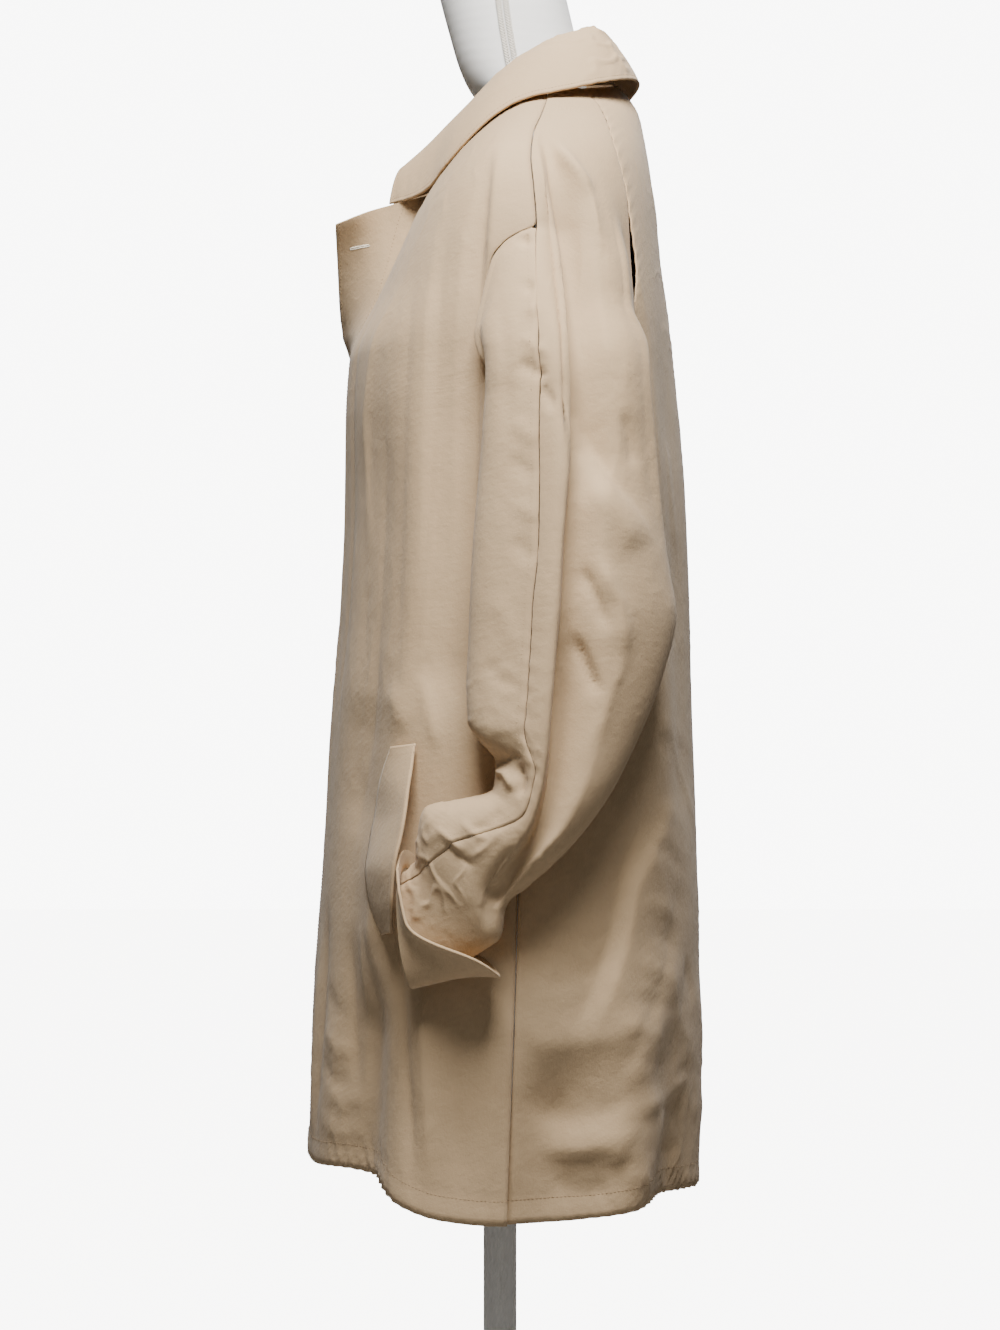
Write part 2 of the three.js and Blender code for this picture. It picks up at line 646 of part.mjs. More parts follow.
// A patch between two side borders. Its upper rows are straight lines from left to right, bowed by the curve
// above at the top and by the one below at the foot. Its lower rows keep the foot's shape, with their ends
// brought to the borders.
function patch(above, below, left, right) {
  const bow = (curve, u) => curve(u).sub(curve(0).lerp(curve(1), u));
  return (u, v) => {
    const foot = (share) => below(share, v);
    const line = left(v).lerp(right(v), u);
    line.addScaledVector(bow(above, u), 1 - v).addScaledVector(bow(foot, u), v);
    const shifted = foot(u).addScaledVector(left(v).sub(foot(0)), 1 - smooth(u, 0.5, 1));
    shifted.addScaledVector(right(v).sub(foot(1)), smooth(u, 0.5, 1));
    return line.lerp(shifted, smooth(v, 0.45, 0.9));
  };
}

// How far round the first full section the cloth of the cap goes at a height: up there it stops at the body
function capAngle(behind, share, v) {
  const stop = behind ? (190 * Math.PI) / 180 : (-25 * Math.PI) / 180;
  const end = behind ? UNDERARM + 2 * Math.PI : UNDERARM;
  return lerp(seamAngle(0), lerp(stop, end, smooth(v, 0.3, 0.8)), behind ? share ** 1.45 : share);
}
const capFoot = (behind) => (share, v) => sleevePoint(0, capAngle(behind, share, v), { folded: false });

// Carries the deep fold up over the cap's outer face, where it runs out at the shoulder point
function foldCap(point, behind, u, v) {
  const outer = smooth(Math.sin(capAngle(behind, u, v)), 0, 0.3);
  const share = (point.y - sleeve.frontY(0)) / (sleeve.backY(0) - sleeve.frontY(0));
  const swell = deepFold(0, share) * outer * smooth(SHOULDER_POINT - point.z, 0, 120);
  return point.addScaledVector(loopNormal(turnAt(point.y, point.z), point.z), swell);
}

const LAST_STATION = SLEEVE.length - 1;
const stationSteps = () =>
  steps(Math.round(LAST_STATION * SLEEVE_CELLS.perStation)).map((share) => share * LAST_STATION);

// Where a sleeve's rim meets the body: on the seam at the shoulder, and just off the cloth at the armpit,
// where the sleeve folds back over the body
function rimOfSleeve(seam, towardsArmpit) {
  const point = bodyPoint(seam.turn, seam.z);
  return point.addScaledVector(loopNormal(seam.turn, seam.z), RIM_OFF * foldBack(towardsArmpit));
}
const foldBack = (towardsArmpit) => smooth(towardsArmpit, 0.05, 0.5);

// A sleeve's border along the body, then from the armpit to the first full section
function underBorder(seamAt) {
  const under = sleevePoint(0, UNDERARM, { folded: false });
  const split = CELLS.armhole / CAP_CELLS;
  return (v) => {
    if (v <= split) return rimOfSleeve(seamAt(v / split), v / split);
    return rimOfSleeve(seamAt(1), 1).lerp(under, (v - split) / (1 - split));
  };
}

// Keeps a point of the cap's foot off the body panel that lies under it
function clearOfBody(point, least) {
  const under = offBody(point.y, point.z, 0);
  point.x = Math.max(point.x, under.x + least);
  return point;
}

// Rows of the front half from the shoulder point down: its cap is set into the front armhole
function sleeveFrontRows() {
  const across = steps(SLEEVE_CELLS.front);
  const point = bodyPoint(0.5, SHOULDER_POINT);
  const cap = patch(
    () => point.clone(),
    capFoot(false),
    capSeam,
    underBorder((share) => armholeSeam(1 - share)),
  );
  const rows = [
    ...steps(CAP_CELLS).slice(0, -1).map((v) => across.map((u) => foldCap(cap(u, v), false, u, v))),
    ...stationSteps().map((at) => across.map((u) => sleevePoint(at, sleeveAngle(at, u, false)))),
  ];
  rows[0] = rows[1].map((below) => point.clone().lerp(below, TIP));
  return rows;
}

// Rows of the back half from the neck down: it runs over the shoulder to the collar
function sleeveBackRows() {
  const across = steps(SLEEVE_CELLS.back);
  const shoulder = steps(CELLS.shoulder).slice(0, -1).map((s, row) => {
    const seam = raglanSeam(raglanShare(row));
    const z = shoulderHeight(1 - s);
    return across.map((u) => bodyPoint(lerp(0.5, seam.turn, u), lerp(z, seam.z, u)));
  });
  const level = raglanSeam(RAGLAN_CAP);
  const cap = patch(
    (u) => bodyPoint(lerp(0.5, level.turn, u), lerp(SHOULDER_POINT, level.z, u)),
    capFoot(true),
    capSeam,
    underBorder((share) => raglanSeam(lerp(RAGLAN_CAP, 1, share))),
  );
  const capPoint = (u, v) => {
    const point = foldCap(cap(u, v), true, u, v);
    return u < 1 && v > 0.5 ? clearOfBody(point, 4 * smooth(v, 0.5, 0.85)) : point;
  };
  return [
    ...shoulder,
    ...steps(CAP_CELLS).slice(0, -1).map((v) => across.map((u) => capPoint(u, v))),
    ...stationSteps().map((at) => across.map((u) => sleevePoint(at, sleeveAngle(at, u, true)))),
  ];
}

// Both halves of a sleeve. Their walls share one direction along the overarm and underarm seams
function sleeves(side, mirror) {
  const front = sleeveFrontRows().map((row) => row.toReversed()).toReversed();
  const back = sleeveBackRows().toReversed();
  const frontNormals = gridNormals(front, false);
  const backNormals = gridNormals(back, false);
  const below = stationSteps().length;
  const share = (a, i, b, k) => {
    a[i] = a[i].clone().add(b[k]).normalize();
    b[k] = a[i];
  };
  front.forEach((row, j) => {
    share(frontNormals[j], row.length - 1, backNormals[j], 0);
    if (j <= below) share(frontNormals[j], 0, backNormals[j], back[j].length - 1);
  });
  const alongBody = (normals, i, seam, towardsArmpit) => {
    const direction = loopNormal(seam.turn, seam.z);
    normals[i] = direction.lerp(normals[i], foldBack(towardsArmpit)).normalize();
  };
  for (let row = 0; row < CELLS.armhole; row += 1) {
    const share = row / CELLS.armhole;
    alongBody(frontNormals[front.length - 1 - row], 0, armholeSeam(1 - share), share);
  }
  const upper = CELLS.shoulder + CELLS.armhole;
  for (let row = 0; row < upper; row += 1) {
    const normals = backNormals[back.length - 1 - row];
    const share = (row - CELLS.shoulder) / CELLS.armhole;
    alongBody(normals, normals.length - 1, raglanSeam(raglanShare(row)), share);
    if (row <= CELLS.shoulder) normals[0] = loopNormal(0.5, shoulderHeight(1 - row / CELLS.shoulder));
  }
  frontNormals[front.length - 1][front[0].length - 1] = loopNormal(0.5, SHOULDER_POINT);
  return [
    wall("sleeve_front_" + side, front, { mirror, normals: frontNormals }),
    wall("sleeve_back_" + side, back, { mirror, normals: backNormals }),
  ];
}

// Turned-back cuff: a ring round the sleeve's end
function cuff(name, mirror) {
  const rows = CUFF.map((row) =>
    steps(CUFF_CELLS).slice(0, -1).map((share) => {
      const angle = 2 * Math.PI * share;
      const station = lerp(row.front, row.back, smooth((1 - Math.cos(angle)) / 2, 0.45, 1));
      return sleevePoint(station, angle, { extra: row.off, droop: row.droop });
    }),
  );
  return wall(name, rows, { closed: true, thick: TWO_PLY, mirror });
}

// Pocket welt: a strip sewn to the front along one edge and lifted at the other
function welt(name, mirror) {
  const rows = steps(WELT_CELLS.along).map((step) =>
    steps(WELT_CELLS.across).map((share) => {
      const y = lerp(weltAt.sewnY(step), weltAt.freeY(step), share);
      const z = lerp(weltAt.sewnZ(step), weltAt.freeZ(step), share);
      const point = offBody(y, z, 1.2 + TWO_PLY);
      point.x += weltAt.lift(step) * share ** 1.1;
      return point;
    }),
  );
  rows.reverse();
  return wall(name, rows, { thick: TWO_PLY, mirror });
}

// Collar

// The neck seam from the centre back (0) to the collar's end on the placket (1)
function neckSeam(at, edgeTable, inset) {
  const backShare = 0.3;
  const raglanShareOfNeck = 0.4;
  if (at < backShare) {
    const s = at / backShare;
    return bodyPoint(lerp(1, RAGLAN[0].turn, s), lerp(NECK_BACK, RAGLAN[0].z, s));
  }
  if (at < raglanShareOfNeck) {
    const s = (at - backShare) / (raglanShareOfNeck - backShare);
    return bodyPoint(lerp(RAGLAN[0].turn, 0.5, s), lerp(RAGLAN[0].z, NECK_POINT, s));
  }
  const placketShare = 0.88;
  if (at < placketShare) {
    const u = 1 - (at - raglanShareOfNeck) / (placketShare - raglanShareOfNeck);
    const z = lerp(PLACKET_TOP, NECK_POINT, u ** 0.8);
    return bodyPoint(neckTurn(z), z);
  }
  const share = lerp(1, COLLAR_END, (at - placketShare) / (1 - placketShare));
  const z = lerp(NECK_CORNER, PLACKET_TOP, share);
  return placketPoint(curvesOf(edgeTable, "z"), inset, share, z);
}

const SIDES = [
  { sign: 1, edge: LEFT_EDGE, inset: 0 },
  { sign: -1, edge: RIGHT_EDGE, inset: UNDERLAP_INSET },
];

// The collar's seam, its fold, its free edge and the level direction it falls in, from the left end (0) to
// the right end (1)
function collarLine(share) {
  const { sign, edge, inset } = SIDES[share <= 0.5 ? 0 : 1];
  const at = Math.abs(2 * share - 1);
  const fold = new THREE.Vector3(collarAt.foldX(at), collarAt.foldY(at), collarAt.foldZ(at));
  const rim = new THREE.Vector3(collarAt.rimX(at), collarAt.rimY(at), collarAt.rimZ(at));
  const out = new THREE.Vector3(rim.x - fold.x, rim.y - fold.y, 0).normalize();
  const seam = neckSeam(at, edge, inset).addScaledVector(out, -STAND_CLEAR);
  seam.z += STAND_CLEAR;
  for (const point of [seam, fold, rim, out]) point.x *= sign;
  return { seam, fold, rim, out };
}

function collarStand() {
  const rows = steps(COLLAR_CELLS.stand).map((up) =>
    steps(COLLAR_CELLS.along).map((share) => {
      const { seam, fold, out } = collarLine(share);
      return seam.lerp(fold, up * STAND_TOP).addScaledVector(out, -STAND_CLEAR * up);
    }),
  );
  return wall("collar_stand", rows, {});
}

function collarLeaf() {
  const rows = steps(COLLAR_CELLS.leaf).map((down) =>
    steps(COLLAR_CELLS.along).map((share) => {
      const { fold, rim, out } = collarLine(share);
      const bend = fold.clone().lerp(rim, 0.35).addScaledVector(out, LEAF_ROUND);
      bend.z += LEAF_ROUND;
      return new THREE.QuadraticBezierCurve3(fold, bend, rim).getPoint(down);
    }),
  );
  rows.reverse();
  return wall("collar_leaf", rows, { thick: TWO_PLY });
}

// Button on the right front, under the open collar
function topButton() {
  const edge = curvesOf(RIGHT_EDGE, "z");
  const z = NECK_CORNER - TOP_BUTTON.down;
  const share = 0.3;
  const place = (s, height) => placketPoint(edge, UNDERLAP_INSET, s, height);
  const centre = place(share, z);
  const across = place(share + 0.1, z).sub(place(share - 0.1, z));
  const up = place(share, z + 5).sub(place(share, z - 5));
  const normal = across.cross(up).normalize();
  centre.addScaledVector(normal, TOP_BUTTON.thick / 2 + 1.8);
  centre.x *= -1;
  normal.x *= -1;
  const { radius, thick, sides } = TOP_BUTTON;
  const geometry = new THREE.CylinderGeometry(radius, radius, thick, sides);
  const mesh = new THREE.Mesh(geometry, materials.button);
  mesh.name = "top_button";
  mesh.position.copy(centre);
  mesh.quaternion.setFromUnitVectors(new THREE.Vector3(0, 1, 0), normal);
  return mesh;
}

// Dress form and stand

// A ring of the form: an oval with its front and back where the table puts them
function formRing({ z, half, front, back }) {
  return steps(FORM_CELLS).slice(0, -1).map((share) => {
    const angle = 2 * Math.PI * share;
    const middle = (front + back) / 2;
    const depth = (back - front) / 2;
    const round = (x) => Math.sign(x) * Math.abs(x) ** (2 / SQUARE);
    return new THREE.Vector3(half * round(Math.cos(angle)), middle + depth * round(Math.sin(angle)), z);
  });
}

// A ring just under the coat's shoulder: the cloth's own section, drawn in along its normals
function shoulderRing(z) {
  const inset = CLOTH + FORM_GAP;
  return steps(FORM_CELLS).slice(0, -1).map((share) => {
    const turn = 0.5 + 2 * share;
    const held = turn > 1.5 ? turn - 2 : turn;
    const ridge = Math.abs(Math.sin(Math.PI * sideOf(held).along)) ** 6;
    const point = loopPoint(held, z);
    const drawn = lerp(10, 0, ridge);
    const normal = loopNormal(held, z);
    point.addScaledVector(normal, -inset);
    return point.addScaledVector(new THREE.Vector3(normal.x, normal.y, 0), -drawn);
  });
}

function dressForm() {
  const rings = [
    ...FORM.map(formRing),
    ...FORM_SHOULDER.map(shoulderRing),
    ...FORM_NECK.map(formRing),
  ];
  const count = FORM_CELLS;
  const points = rings.flat();
  const low = points.push(new THREE.Vector3(0, 0, FORM[0].z)) - 1;
  const neckTop = FORM_NECK[FORM_NECK.length - 1];
  const high = points.push(new THREE.Vector3(0, (neckTop.front + neckTop.back) / 2, neckTop.z)) - 1;
  const faces = [];
  for (let j = 0; j < rings.length - 1; j += 1) {
    for (let i = 0; i < count; i += 1) {
      const next = (i + 1) % count;
      const [a, b, c, d] = [j * count + i, j * count + next, (j + 1) * count + next, (j + 1) * count + i];
      faces.push([a, b, c], [a, c, d]);
    }
  }
  const top = (rings.length - 1) * count;
  for (let i = 0; i < count; i += 1) {
    const next = (i + 1) % count;
    faces.push([low, next, i], [high, top + i, top + next]);
  }
  return meshOf("form_torso", points, faces, false, materials.form);
}

function upright(name, { radius, low, high, y, sides, material }) {
  const geometry = new THREE.CylinderGeometry(radius, radius, high - low, sides);
  geometry.rotateX(Math.PI / 2);
  const mesh = new THREE.Mesh(geometry, material);
  mesh.name = name;
  mesh.position.set(0, y, (low + high) / 2);
  return mesh;
}

function neckPlate() {
  const { radius, thick, forward: y, sides } = NECK_PLATE;
  const low = FORM_NECK[FORM_NECK.length - 1].z + SEAM;
  return upright("form_neck_plate", { radius, low, high: low + thick, y, sides, material: materials.form });
}

function pole() {
  const low = BASE.hubHeight + SEAM;
  const high = FORM[0].z - SEAM;
  return upright("form_pole", { ...POLE, low, high, y: 0, material: materials.steel });
}

function basePlate() {
  const { radius, thick, edge, hub, hubHeight, sides } = BASE;
  const profile = [
    [0, 0],
    [radius - edge, 0],
    [radius, edge],
    [radius, thick - edge],
    [radius - edge, thick],
    [hub, thick],
    [hub - edge, hubHeight],
    [0, hubHeight],
  ].map(([x, y]) => new THREE.Vector2(x, y));
  const geometry = new THREE.LatheGeometry(profile, sides);
  geometry.rotateX(Math.PI / 2);
  const mesh = new THREE.Mesh(geometry, materials.steel);
  mesh.name = "form_base";
  return mesh;
}

const coat = new THREE.Group();
coat.add(
  frontPanel("front_left", LEFT_EDGE, 0, false),
  frontPanel("front_right", RIGHT_EDGE, UNDERLAP_INSET, true),
  backPanel(),
  ...sleeves("left", false),
  ...sleeves("right", true),
  cuff("cuff_left", false),
  cuff("cuff_right", true),
  welt("pocket_welt_left", false),
  welt("pocket_welt_right", true),
  collarStand(),
  collarLeaf(),
  topButton(),
);

const stand = new THREE.Group();
stand.add(dressForm(), neckPlate(), pole(), basePlate());

const part = new THREE.Group();
part.add(coat, stand);

export default part;
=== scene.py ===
# A beige cotton car coat with split raglan sleeves, on a white dress form and seen from the wearer's left.
import math
import bpy
import numpy as np
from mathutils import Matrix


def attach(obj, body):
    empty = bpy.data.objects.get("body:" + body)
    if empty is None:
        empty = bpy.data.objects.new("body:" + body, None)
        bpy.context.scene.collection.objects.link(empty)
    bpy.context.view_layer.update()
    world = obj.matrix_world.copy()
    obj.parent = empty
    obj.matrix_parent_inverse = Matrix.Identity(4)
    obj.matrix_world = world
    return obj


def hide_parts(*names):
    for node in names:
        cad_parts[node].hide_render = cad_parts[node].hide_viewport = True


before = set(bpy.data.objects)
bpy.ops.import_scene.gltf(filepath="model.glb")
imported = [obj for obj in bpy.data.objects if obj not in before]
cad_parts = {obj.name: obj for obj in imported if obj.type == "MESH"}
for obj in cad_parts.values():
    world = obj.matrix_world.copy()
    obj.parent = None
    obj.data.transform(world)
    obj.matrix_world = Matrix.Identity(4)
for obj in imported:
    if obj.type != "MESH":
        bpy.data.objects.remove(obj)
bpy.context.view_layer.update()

# Studio
# A pale floor that runs out of sight in a white room. A broad lamp hangs close above the coat, so the light
# falls off towards the hem, and two wide ones open up the shadows from the camera's side and from behind.
FOCAL_LENGTH_PX = 3066
PICTURE_HEIGHT_PX = 1330
SENSOR_MM = 36
CAMERA_PLACE = (2.6, 0.0, 0.845)
FLOOR_SIZE = 16.0
WHITE_ROOM = "#fbfbfa"
PALE_FLOOR = "#f3f2f0"
FLOOR_PAINT = "#9c9b99"
ROOM_STRENGTH = 0.035
ROOM_SEEN = 9.0
FLOOR_GLOW = 9.0
LAMPS = (
    ("lamp overhead", (1.0, 0.0, 2.42), (0.1, 0.0, 1.0), 0.8, 88),
    ("lamp beside the camera", (3.2, -0.6, 2.0), (0.0, 0.0, 0.9), 2.0, 3),
    ("lamp behind", (-2.4, 0.6, 2.6), (0.0, 0.0, 0.9), 2.0, 40),
)


def linear(hex_colour):
    """A colour as the renderer adds it up: each sRGB channel with its display curve undone."""
    srgb = np.array([int(hex_colour[i : i + 2], 16) for i in (1, 3, 5)]) / 255
    light = np.where(srgb <= 0.04045, srgb / 12.92, ((srgb + 0.055) / 1.055) ** 2.4)
    return (*light.tolist(), 1.0)


def node(tree, kind, inputs=None, **settings):
    """Adds one shader node, with settings for its own properties and a value or a link for each input."""
    made = tree.nodes.new(kind)
    for name, value in settings.items():
        setattr(made, name, value)
    for socket, value in (inputs or {}).items():
        if isinstance(value, bpy.types.NodeSocket):
            tree.links.new(value, made.inputs[socket])
        else:
            made.inputs[socket].default_value = value
    return made


def finish_of(name, **surface):
    """A new material with one principled shader, and its node tree for what is linked to it."""
    material = bpy.data.materials.new(name)
    material.use_nodes = True
    shader = material.node_tree.nodes["Principled BSDF"]
    for socket, value in surface.items():
        shader.inputs[socket.replace("_", " ")].default_value = value
    return material, material.node_tree, shader


def new_object(name, data):
    """Puts a mesh, lamp or camera into the scene."""
    made = bpy.data.objects.new(name, data)
    bpy.context.scene.collection.objects.link(made)
    return made


def aim(thing, place, at):
    """Turns a lamp or camera at a place so that its view runs to a point."""
    direction = np.array(at) - np.array(place)
    flat = math.hypot(direction[0], direction[1])
    thing.location = place
    thing.rotation_euler = (math.atan2(flat, -direction[2]), 0, math.atan2(-direction[0], direction[1]))


floor_mesh = bpy.data.meshes.new("floor")
half_floor = FLOOR_SIZE / 2
floor_corners = [(x, y, 0) for x, y in ((-1, -1), (1, -1), (1, 1), (-1, 1))]
floor_mesh.from_pydata([(x * half_floor, y * half_floor, z) for x, y, z in floor_corners], [], [(0, 1, 2, 3)])
floor = new_object("floor", floor_mesh)
floor_paint, floor_tree, floor_shader = finish_of(
    "matt floor paint", Base_Color=linear(FLOOR_PAINT), Roughness=0.9, Emission_Color=linear(PALE_FLOOR)
)
# The floor glows faintly for the camera alone, so that it runs into the white room with no line between them
floor_seen = node(floor_tree, "ShaderNodeLightPath")
floor_glow = node(
    floor_tree,
    "ShaderNodeMath",
    {0: floor_seen.outputs["Is Camera Ray"], 1: FLOOR_GLOW},
    operation="MULTIPLY",
)
floor_tree.links.new(floor_glow.outputs[0], floor_shader.inputs["Emission Strength"])
floor_mesh.materials.append(floor_paint)

room = bpy.data.worlds.new("white room")
room.use_nodes = True
room_light = room.node_tree.nodes["Background"]
room_light.inputs["Color"].default_value = linear(WHITE_ROOM)
room_seen = node(room.node_tree, "ShaderNodeLightPath")
room_strength = node(
    room.node_tree,
    "ShaderNodeMapRange",
    {"Value": room_seen.outputs["Is Camera Ray"], "To Min": ROOM_STRENGTH, "To Max": ROOM_SEEN},
)
room.node_tree.links.new(room_strength.outputs["Result"], room_light.inputs["Strength"])
bpy.context.scene.world = room

for name, place, at, size, power in LAMPS:
    lamp_data = bpy.data.lights.new(name, "AREA")
    lamp_data.size = size
    lamp_data.energy = power
    aim(new_object(name, lamp_data), place, at)

camera_data = bpy.data.cameras.new("camera")
camera_data.sensor_width = SENSOR_MM
camera_data.lens = FOCAL_LENGTH_PX / PICTURE_HEIGHT_PX * SENSOR_MM
camera = new_object("camera", camera_data)
aim(camera, CAMERA_PLACE, (0.0, 0.0, CAMERA_PLACE[2]))
bpy.context.scene.camera = camera

# Stand
# A heavy round steel plate with a short hub, and a steel pole that carries the dress form.
# Both are powder-coated in a warm white, which gives a fine dull skin with soft highlights.
# Shapes are in millimetres from here on, with heights counted from the floor.
POLE_RADIUS = 14
POLE_FOOT = 22.6
POLE_TOP = 599.4
BASE_PROFILE = ((0, 0), (173, 0), (176, 3), (176, 6), (173, 9), (26, 9), (24.5, 14), (23, 22), (0, 22))
TURNED_SIDES = 96
COAT_WHITE = "#dcdad5"


def mesh_piece(name, points, faces, material, slot, replaced=(), mirror=False, uv=None):
    """A piece of the object from points in millimetres. Mirrored, it is the wearer's right-hand twin."""
    placed = points * (-1, 1, 1) if mirror else points
    turned = [face[::-1] for face in faces] if mirror else faces
    mesh = bpy.data.meshes.new(name)
    mesh.from_pydata((placed / 1000).tolist(), [], turned)
    if uv is not None:
        corner = np.empty(len(mesh.loops), dtype=np.int32)
        mesh.loops.foreach_get("vertex_index", corner)
        mesh.uv_layers.new(name="cut").data.foreach_set("uv", uv[corner].ravel())
    mesh.polygons.foreach_set("use_smooth", np.ones(len(mesh.polygons), dtype=bool))
    mesh.materials.append(material)
    piece = new_object(name, mesh)
    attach(piece, "root")
    if replaced:
        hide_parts(*replaced)
    return piece


def quads(index):
    """Faces over a grid of vertex numbers: each cell's four corners, anticlockwise from its low left one."""
    corners = (index[:-1, :-1], index[:-1, 1:], index[1:, 1:], index[1:, :-1])
    return np.stack(corners, axis=-1).reshape(-1, 4).tolist()


def closed_tube(rings):
    """Points and faces of rings one above the other, closed by a fan at the foot and at the top."""
    count = rings.shape[1]
    index = np.arange(rings.shape[0] * count).reshape(-1, count)
    around = np.hstack((index, index[:, :1]))
    low, high = index.size, index.size + 1
    points = np.vstack((rings.reshape(-1, 3), rings[0].mean(axis=0), rings[-1].mean(axis=0)))
    faces = quads(around)
    faces += [[low, b, a] for a, b in zip(around[0, :-1].tolist(), around[0, 1:].tolist())]
    faces += [[high, a, b] for a, b in zip(around[-1, :-1].tolist(), around[-1, 1:].tolist())]
    return points, faces


def turned_solid(name, profile, material, slot, replaced, forward=0.0):
    """A turned piece: a profile of (radius, height) goes round an upright axis, closed at both ends."""
    angle = np.linspace(0, 2 * np.pi, TURNED_SIDES, endpoint=False)
    rings = np.array([(r, h) for r, h in profile if r > 0], dtype=float)
    x = rings[:, :1] * np.cos(angle)
    y = rings[:, :1] * np.sin(angle) + forward
    z = np.repeat(rings[:, 1:], TURNED_SIDES, axis=1)
    mesh_piece(name, *closed_tube(np.stack((x, y, z), axis=-1)), material, slot, replaced)


def rounded(profile, radius, steps=5):
    """The profile with each inner corner replaced by a short quadratic curve between its two sides."""
    made = [profile[0]]
    for before, corner, after in zip(profile, profile[1:], profile[2:]):
        start, middle, end = (np.array(point, dtype=float) for point in (before, corner, after))
        back, ahead = start - middle, end - middle
        cut = min(radius, np.linalg.norm(back) / 2, np.linalg.norm(ahead) / 2)
        first = middle + back / np.linalg.norm(back) * cut
        last = middle + ahead / np.linalg.norm(ahead) * cut
        for t in np.linspace(0, 1, steps):
            made.append(tuple((1 - t) ** 2 * first + 2 * t * (1 - t) * middle + t**2 * last))
    return made + [profile[-1]]


powder_coat, coat_tree, coat_shader = finish_of(
    "powder-coated steel", Base_Color=linear(COAT_WHITE), Roughness=0.45, IOR=1.5
)
coat_place = node(coat_tree, "ShaderNodeTexCoord")
coat_grain = node(
    coat_tree, "ShaderNodeTexNoise", {"Vector": coat_place.outputs["Object"], "Scale": 900.0, "Detail": 2.0}
)
coat_bump = node(
    coat_tree, "ShaderNodeBump", {"Height": coat_grain.outputs["Fac"], "Strength": 0.25, "Distance": 0.0004}
)
coat_tree.links.new(coat_bump.outputs["Normal"], coat_shader.inputs["Normal"])

turned_solid("stand_base", rounded(BASE_PROFILE, 1.5), powder_coat, "stand_metal", ("form_base",))
pole_profile = ((0, POLE_FOOT), (POLE_RADIUS, POLE_FOOT), (POLE_RADIUS, POLE_TOP), (0, POLE_TOP))
turned_solid("stand_pole", rounded(pole_profile, 0.8), powder_coat, "stand_metal", ("form_pole",))

# Dress form
# A limbless torso of moulded foam under a tight white cotton jersey cover, with a flat plate on its neck.
# Two plaited braids side by side are sewn over the cover's side seam, up each side of the neck.
FORM_COLUMNS = 144
FORM_RINGS = 150
# Sections of the form and the coat are ovals whose sine and cosine are raised to 2 / SQUARE
SQUARE = 2.3
# Thickness of the coat's cloth, the gap between it and the form at the shoulder, and how much more the form
# is drawn in before and behind the shoulder's ridge
CLOTH = 1.6
FORM_GAP = 2.3
RIDGE_DRAW = 10
# Bands of a wave texture of scale 1 are a twentieth of two pi metres apart
WAVE_SPACING_MM = 2 * math.pi * 1000 / 20
KNIT_SPACING_MM = 8.796
COVER_WHITE = "#efeeea"
COVER_SHADE = "#e3e1dc"
BRAID_WHITE = "#d9d3c7"
NECK_PLATE_RADIUS = 46
NECK_PLATE_LOW = 1440.6
NECK_PLATE_HIGH = 1445.6
NECK_PLATE_FORWARD = -4.5


def table(names, *rows):
    """A table as one array for each named column."""
    return dict(zip(names, np.array(rows, dtype=float).T))


def through(x, y):
    """A smooth curve through rows that never overshoots them: cubic pieces, whose slope at a row is the
    harmonic mean of the rises on both sides, or level where they differ in sign. Beyond its ends it runs
    straight on."""
    if x[0] > x[-1]:
        x, y = x[::-1], y[::-1]
    wide = (...,) + (None,) * (y.ndim - 1)
    run = np.diff(x)
    rise = np.diff(y, axis=0) / run[wide]
    alike = rise[1:] * rise[:-1] > 0
    bend = 2 * rise[1:] * rise[:-1] / np.where(alike, rise[1:] + rise[:-1], 1)
    slope = np.concatenate((rise[:1], np.where(alike, bend, 0), rise[-1:]))

    def at(v):
        v = np.asarray(v, dtype=float)
        i = np.clip(np.searchsorted(x, v) - 1, 0, len(x) - 2)
        s = np.clip((v - x[i]) / run[i], 0, 1)[wide]
        held = run[i][wide]
        value = (2 * s**3 - 3 * s**2 + 1) * y[i] + (s**3 - 2 * s**2 + s) * held * slope[i]
        value = value + (3 * s**2 - 2 * s**3) * y[i + 1] + (s**3 - s**2) * held * slope[i + 1]
        before = np.minimum(v - x[0], 0)[wide]
        after = np.maximum(v - x[-1], 0)[wide]
        return value + before * slope[0] + after * slope[-1]

    return at


def lerp(a, b, t):
    """Part of the way from a to b."""
    return a + (b - a) * t


def smooth(x, low, high):
    """0 below low and 1 above high, with a soft S between them."""
    t = np.clip((x - low) / (high - low), 0, 1)
    return t * t * (3 - 2 * t)


def unit(v):
    """Vectors brought to length 1."""
    return v / np.maximum(np.linalg.norm(v, axis=-1, keepdims=True), 1e-12)


# Section of the coat's body by height: half its width, the front and back, and the seam line at its side
BODY = table(
    ("z", "half", "front", "side", "back"),
    (400, 290, -163, 6, 161),
    (440, 288, -161, 7, 163),
    (510, 283, -159, 9, 166),
    (578, 279, -156, 11, 167),
    (646, 275, -151, 13, 166),
    (730, 270, -145, 15, 164),
    (815, 265, -139, 17, 161),
    (900, 260, -132, 20, 159),
    (968, 256, -129, 22, 156),
    (1044, 251, -130, 25, 151),
    (1095, 247, -127, 27, 146),
    (1150, 244, -102, 28, 139),
    (1183, 241, -87, 28, 135),
    (1215, 232, -72, 26, 132),
    (1240, 217, -57, 24, 129),
    (1262, 193, -41, 26, 126),
    (1285, 153, -22, 33, 122),
    (1305, 112, -4, 38, 118),
    (1320, 81, 10, 40, 111),
    (1335, 60, 20, 42, 97),
)
body = {name: through(BODY["z"], BODY[name]) for name in ("half", "front", "side", "back")}


def left_turn(turn):
    """The side a turn lies on, 1 for left and -1 for right, and the turn that mirrors it on the left."""
    side = np.where((turn < 0) | (turn > 1), -1, 1)
    return side, np.where(turn < 0, -turn, np.where(turn > 1, 2 - turn, turn))


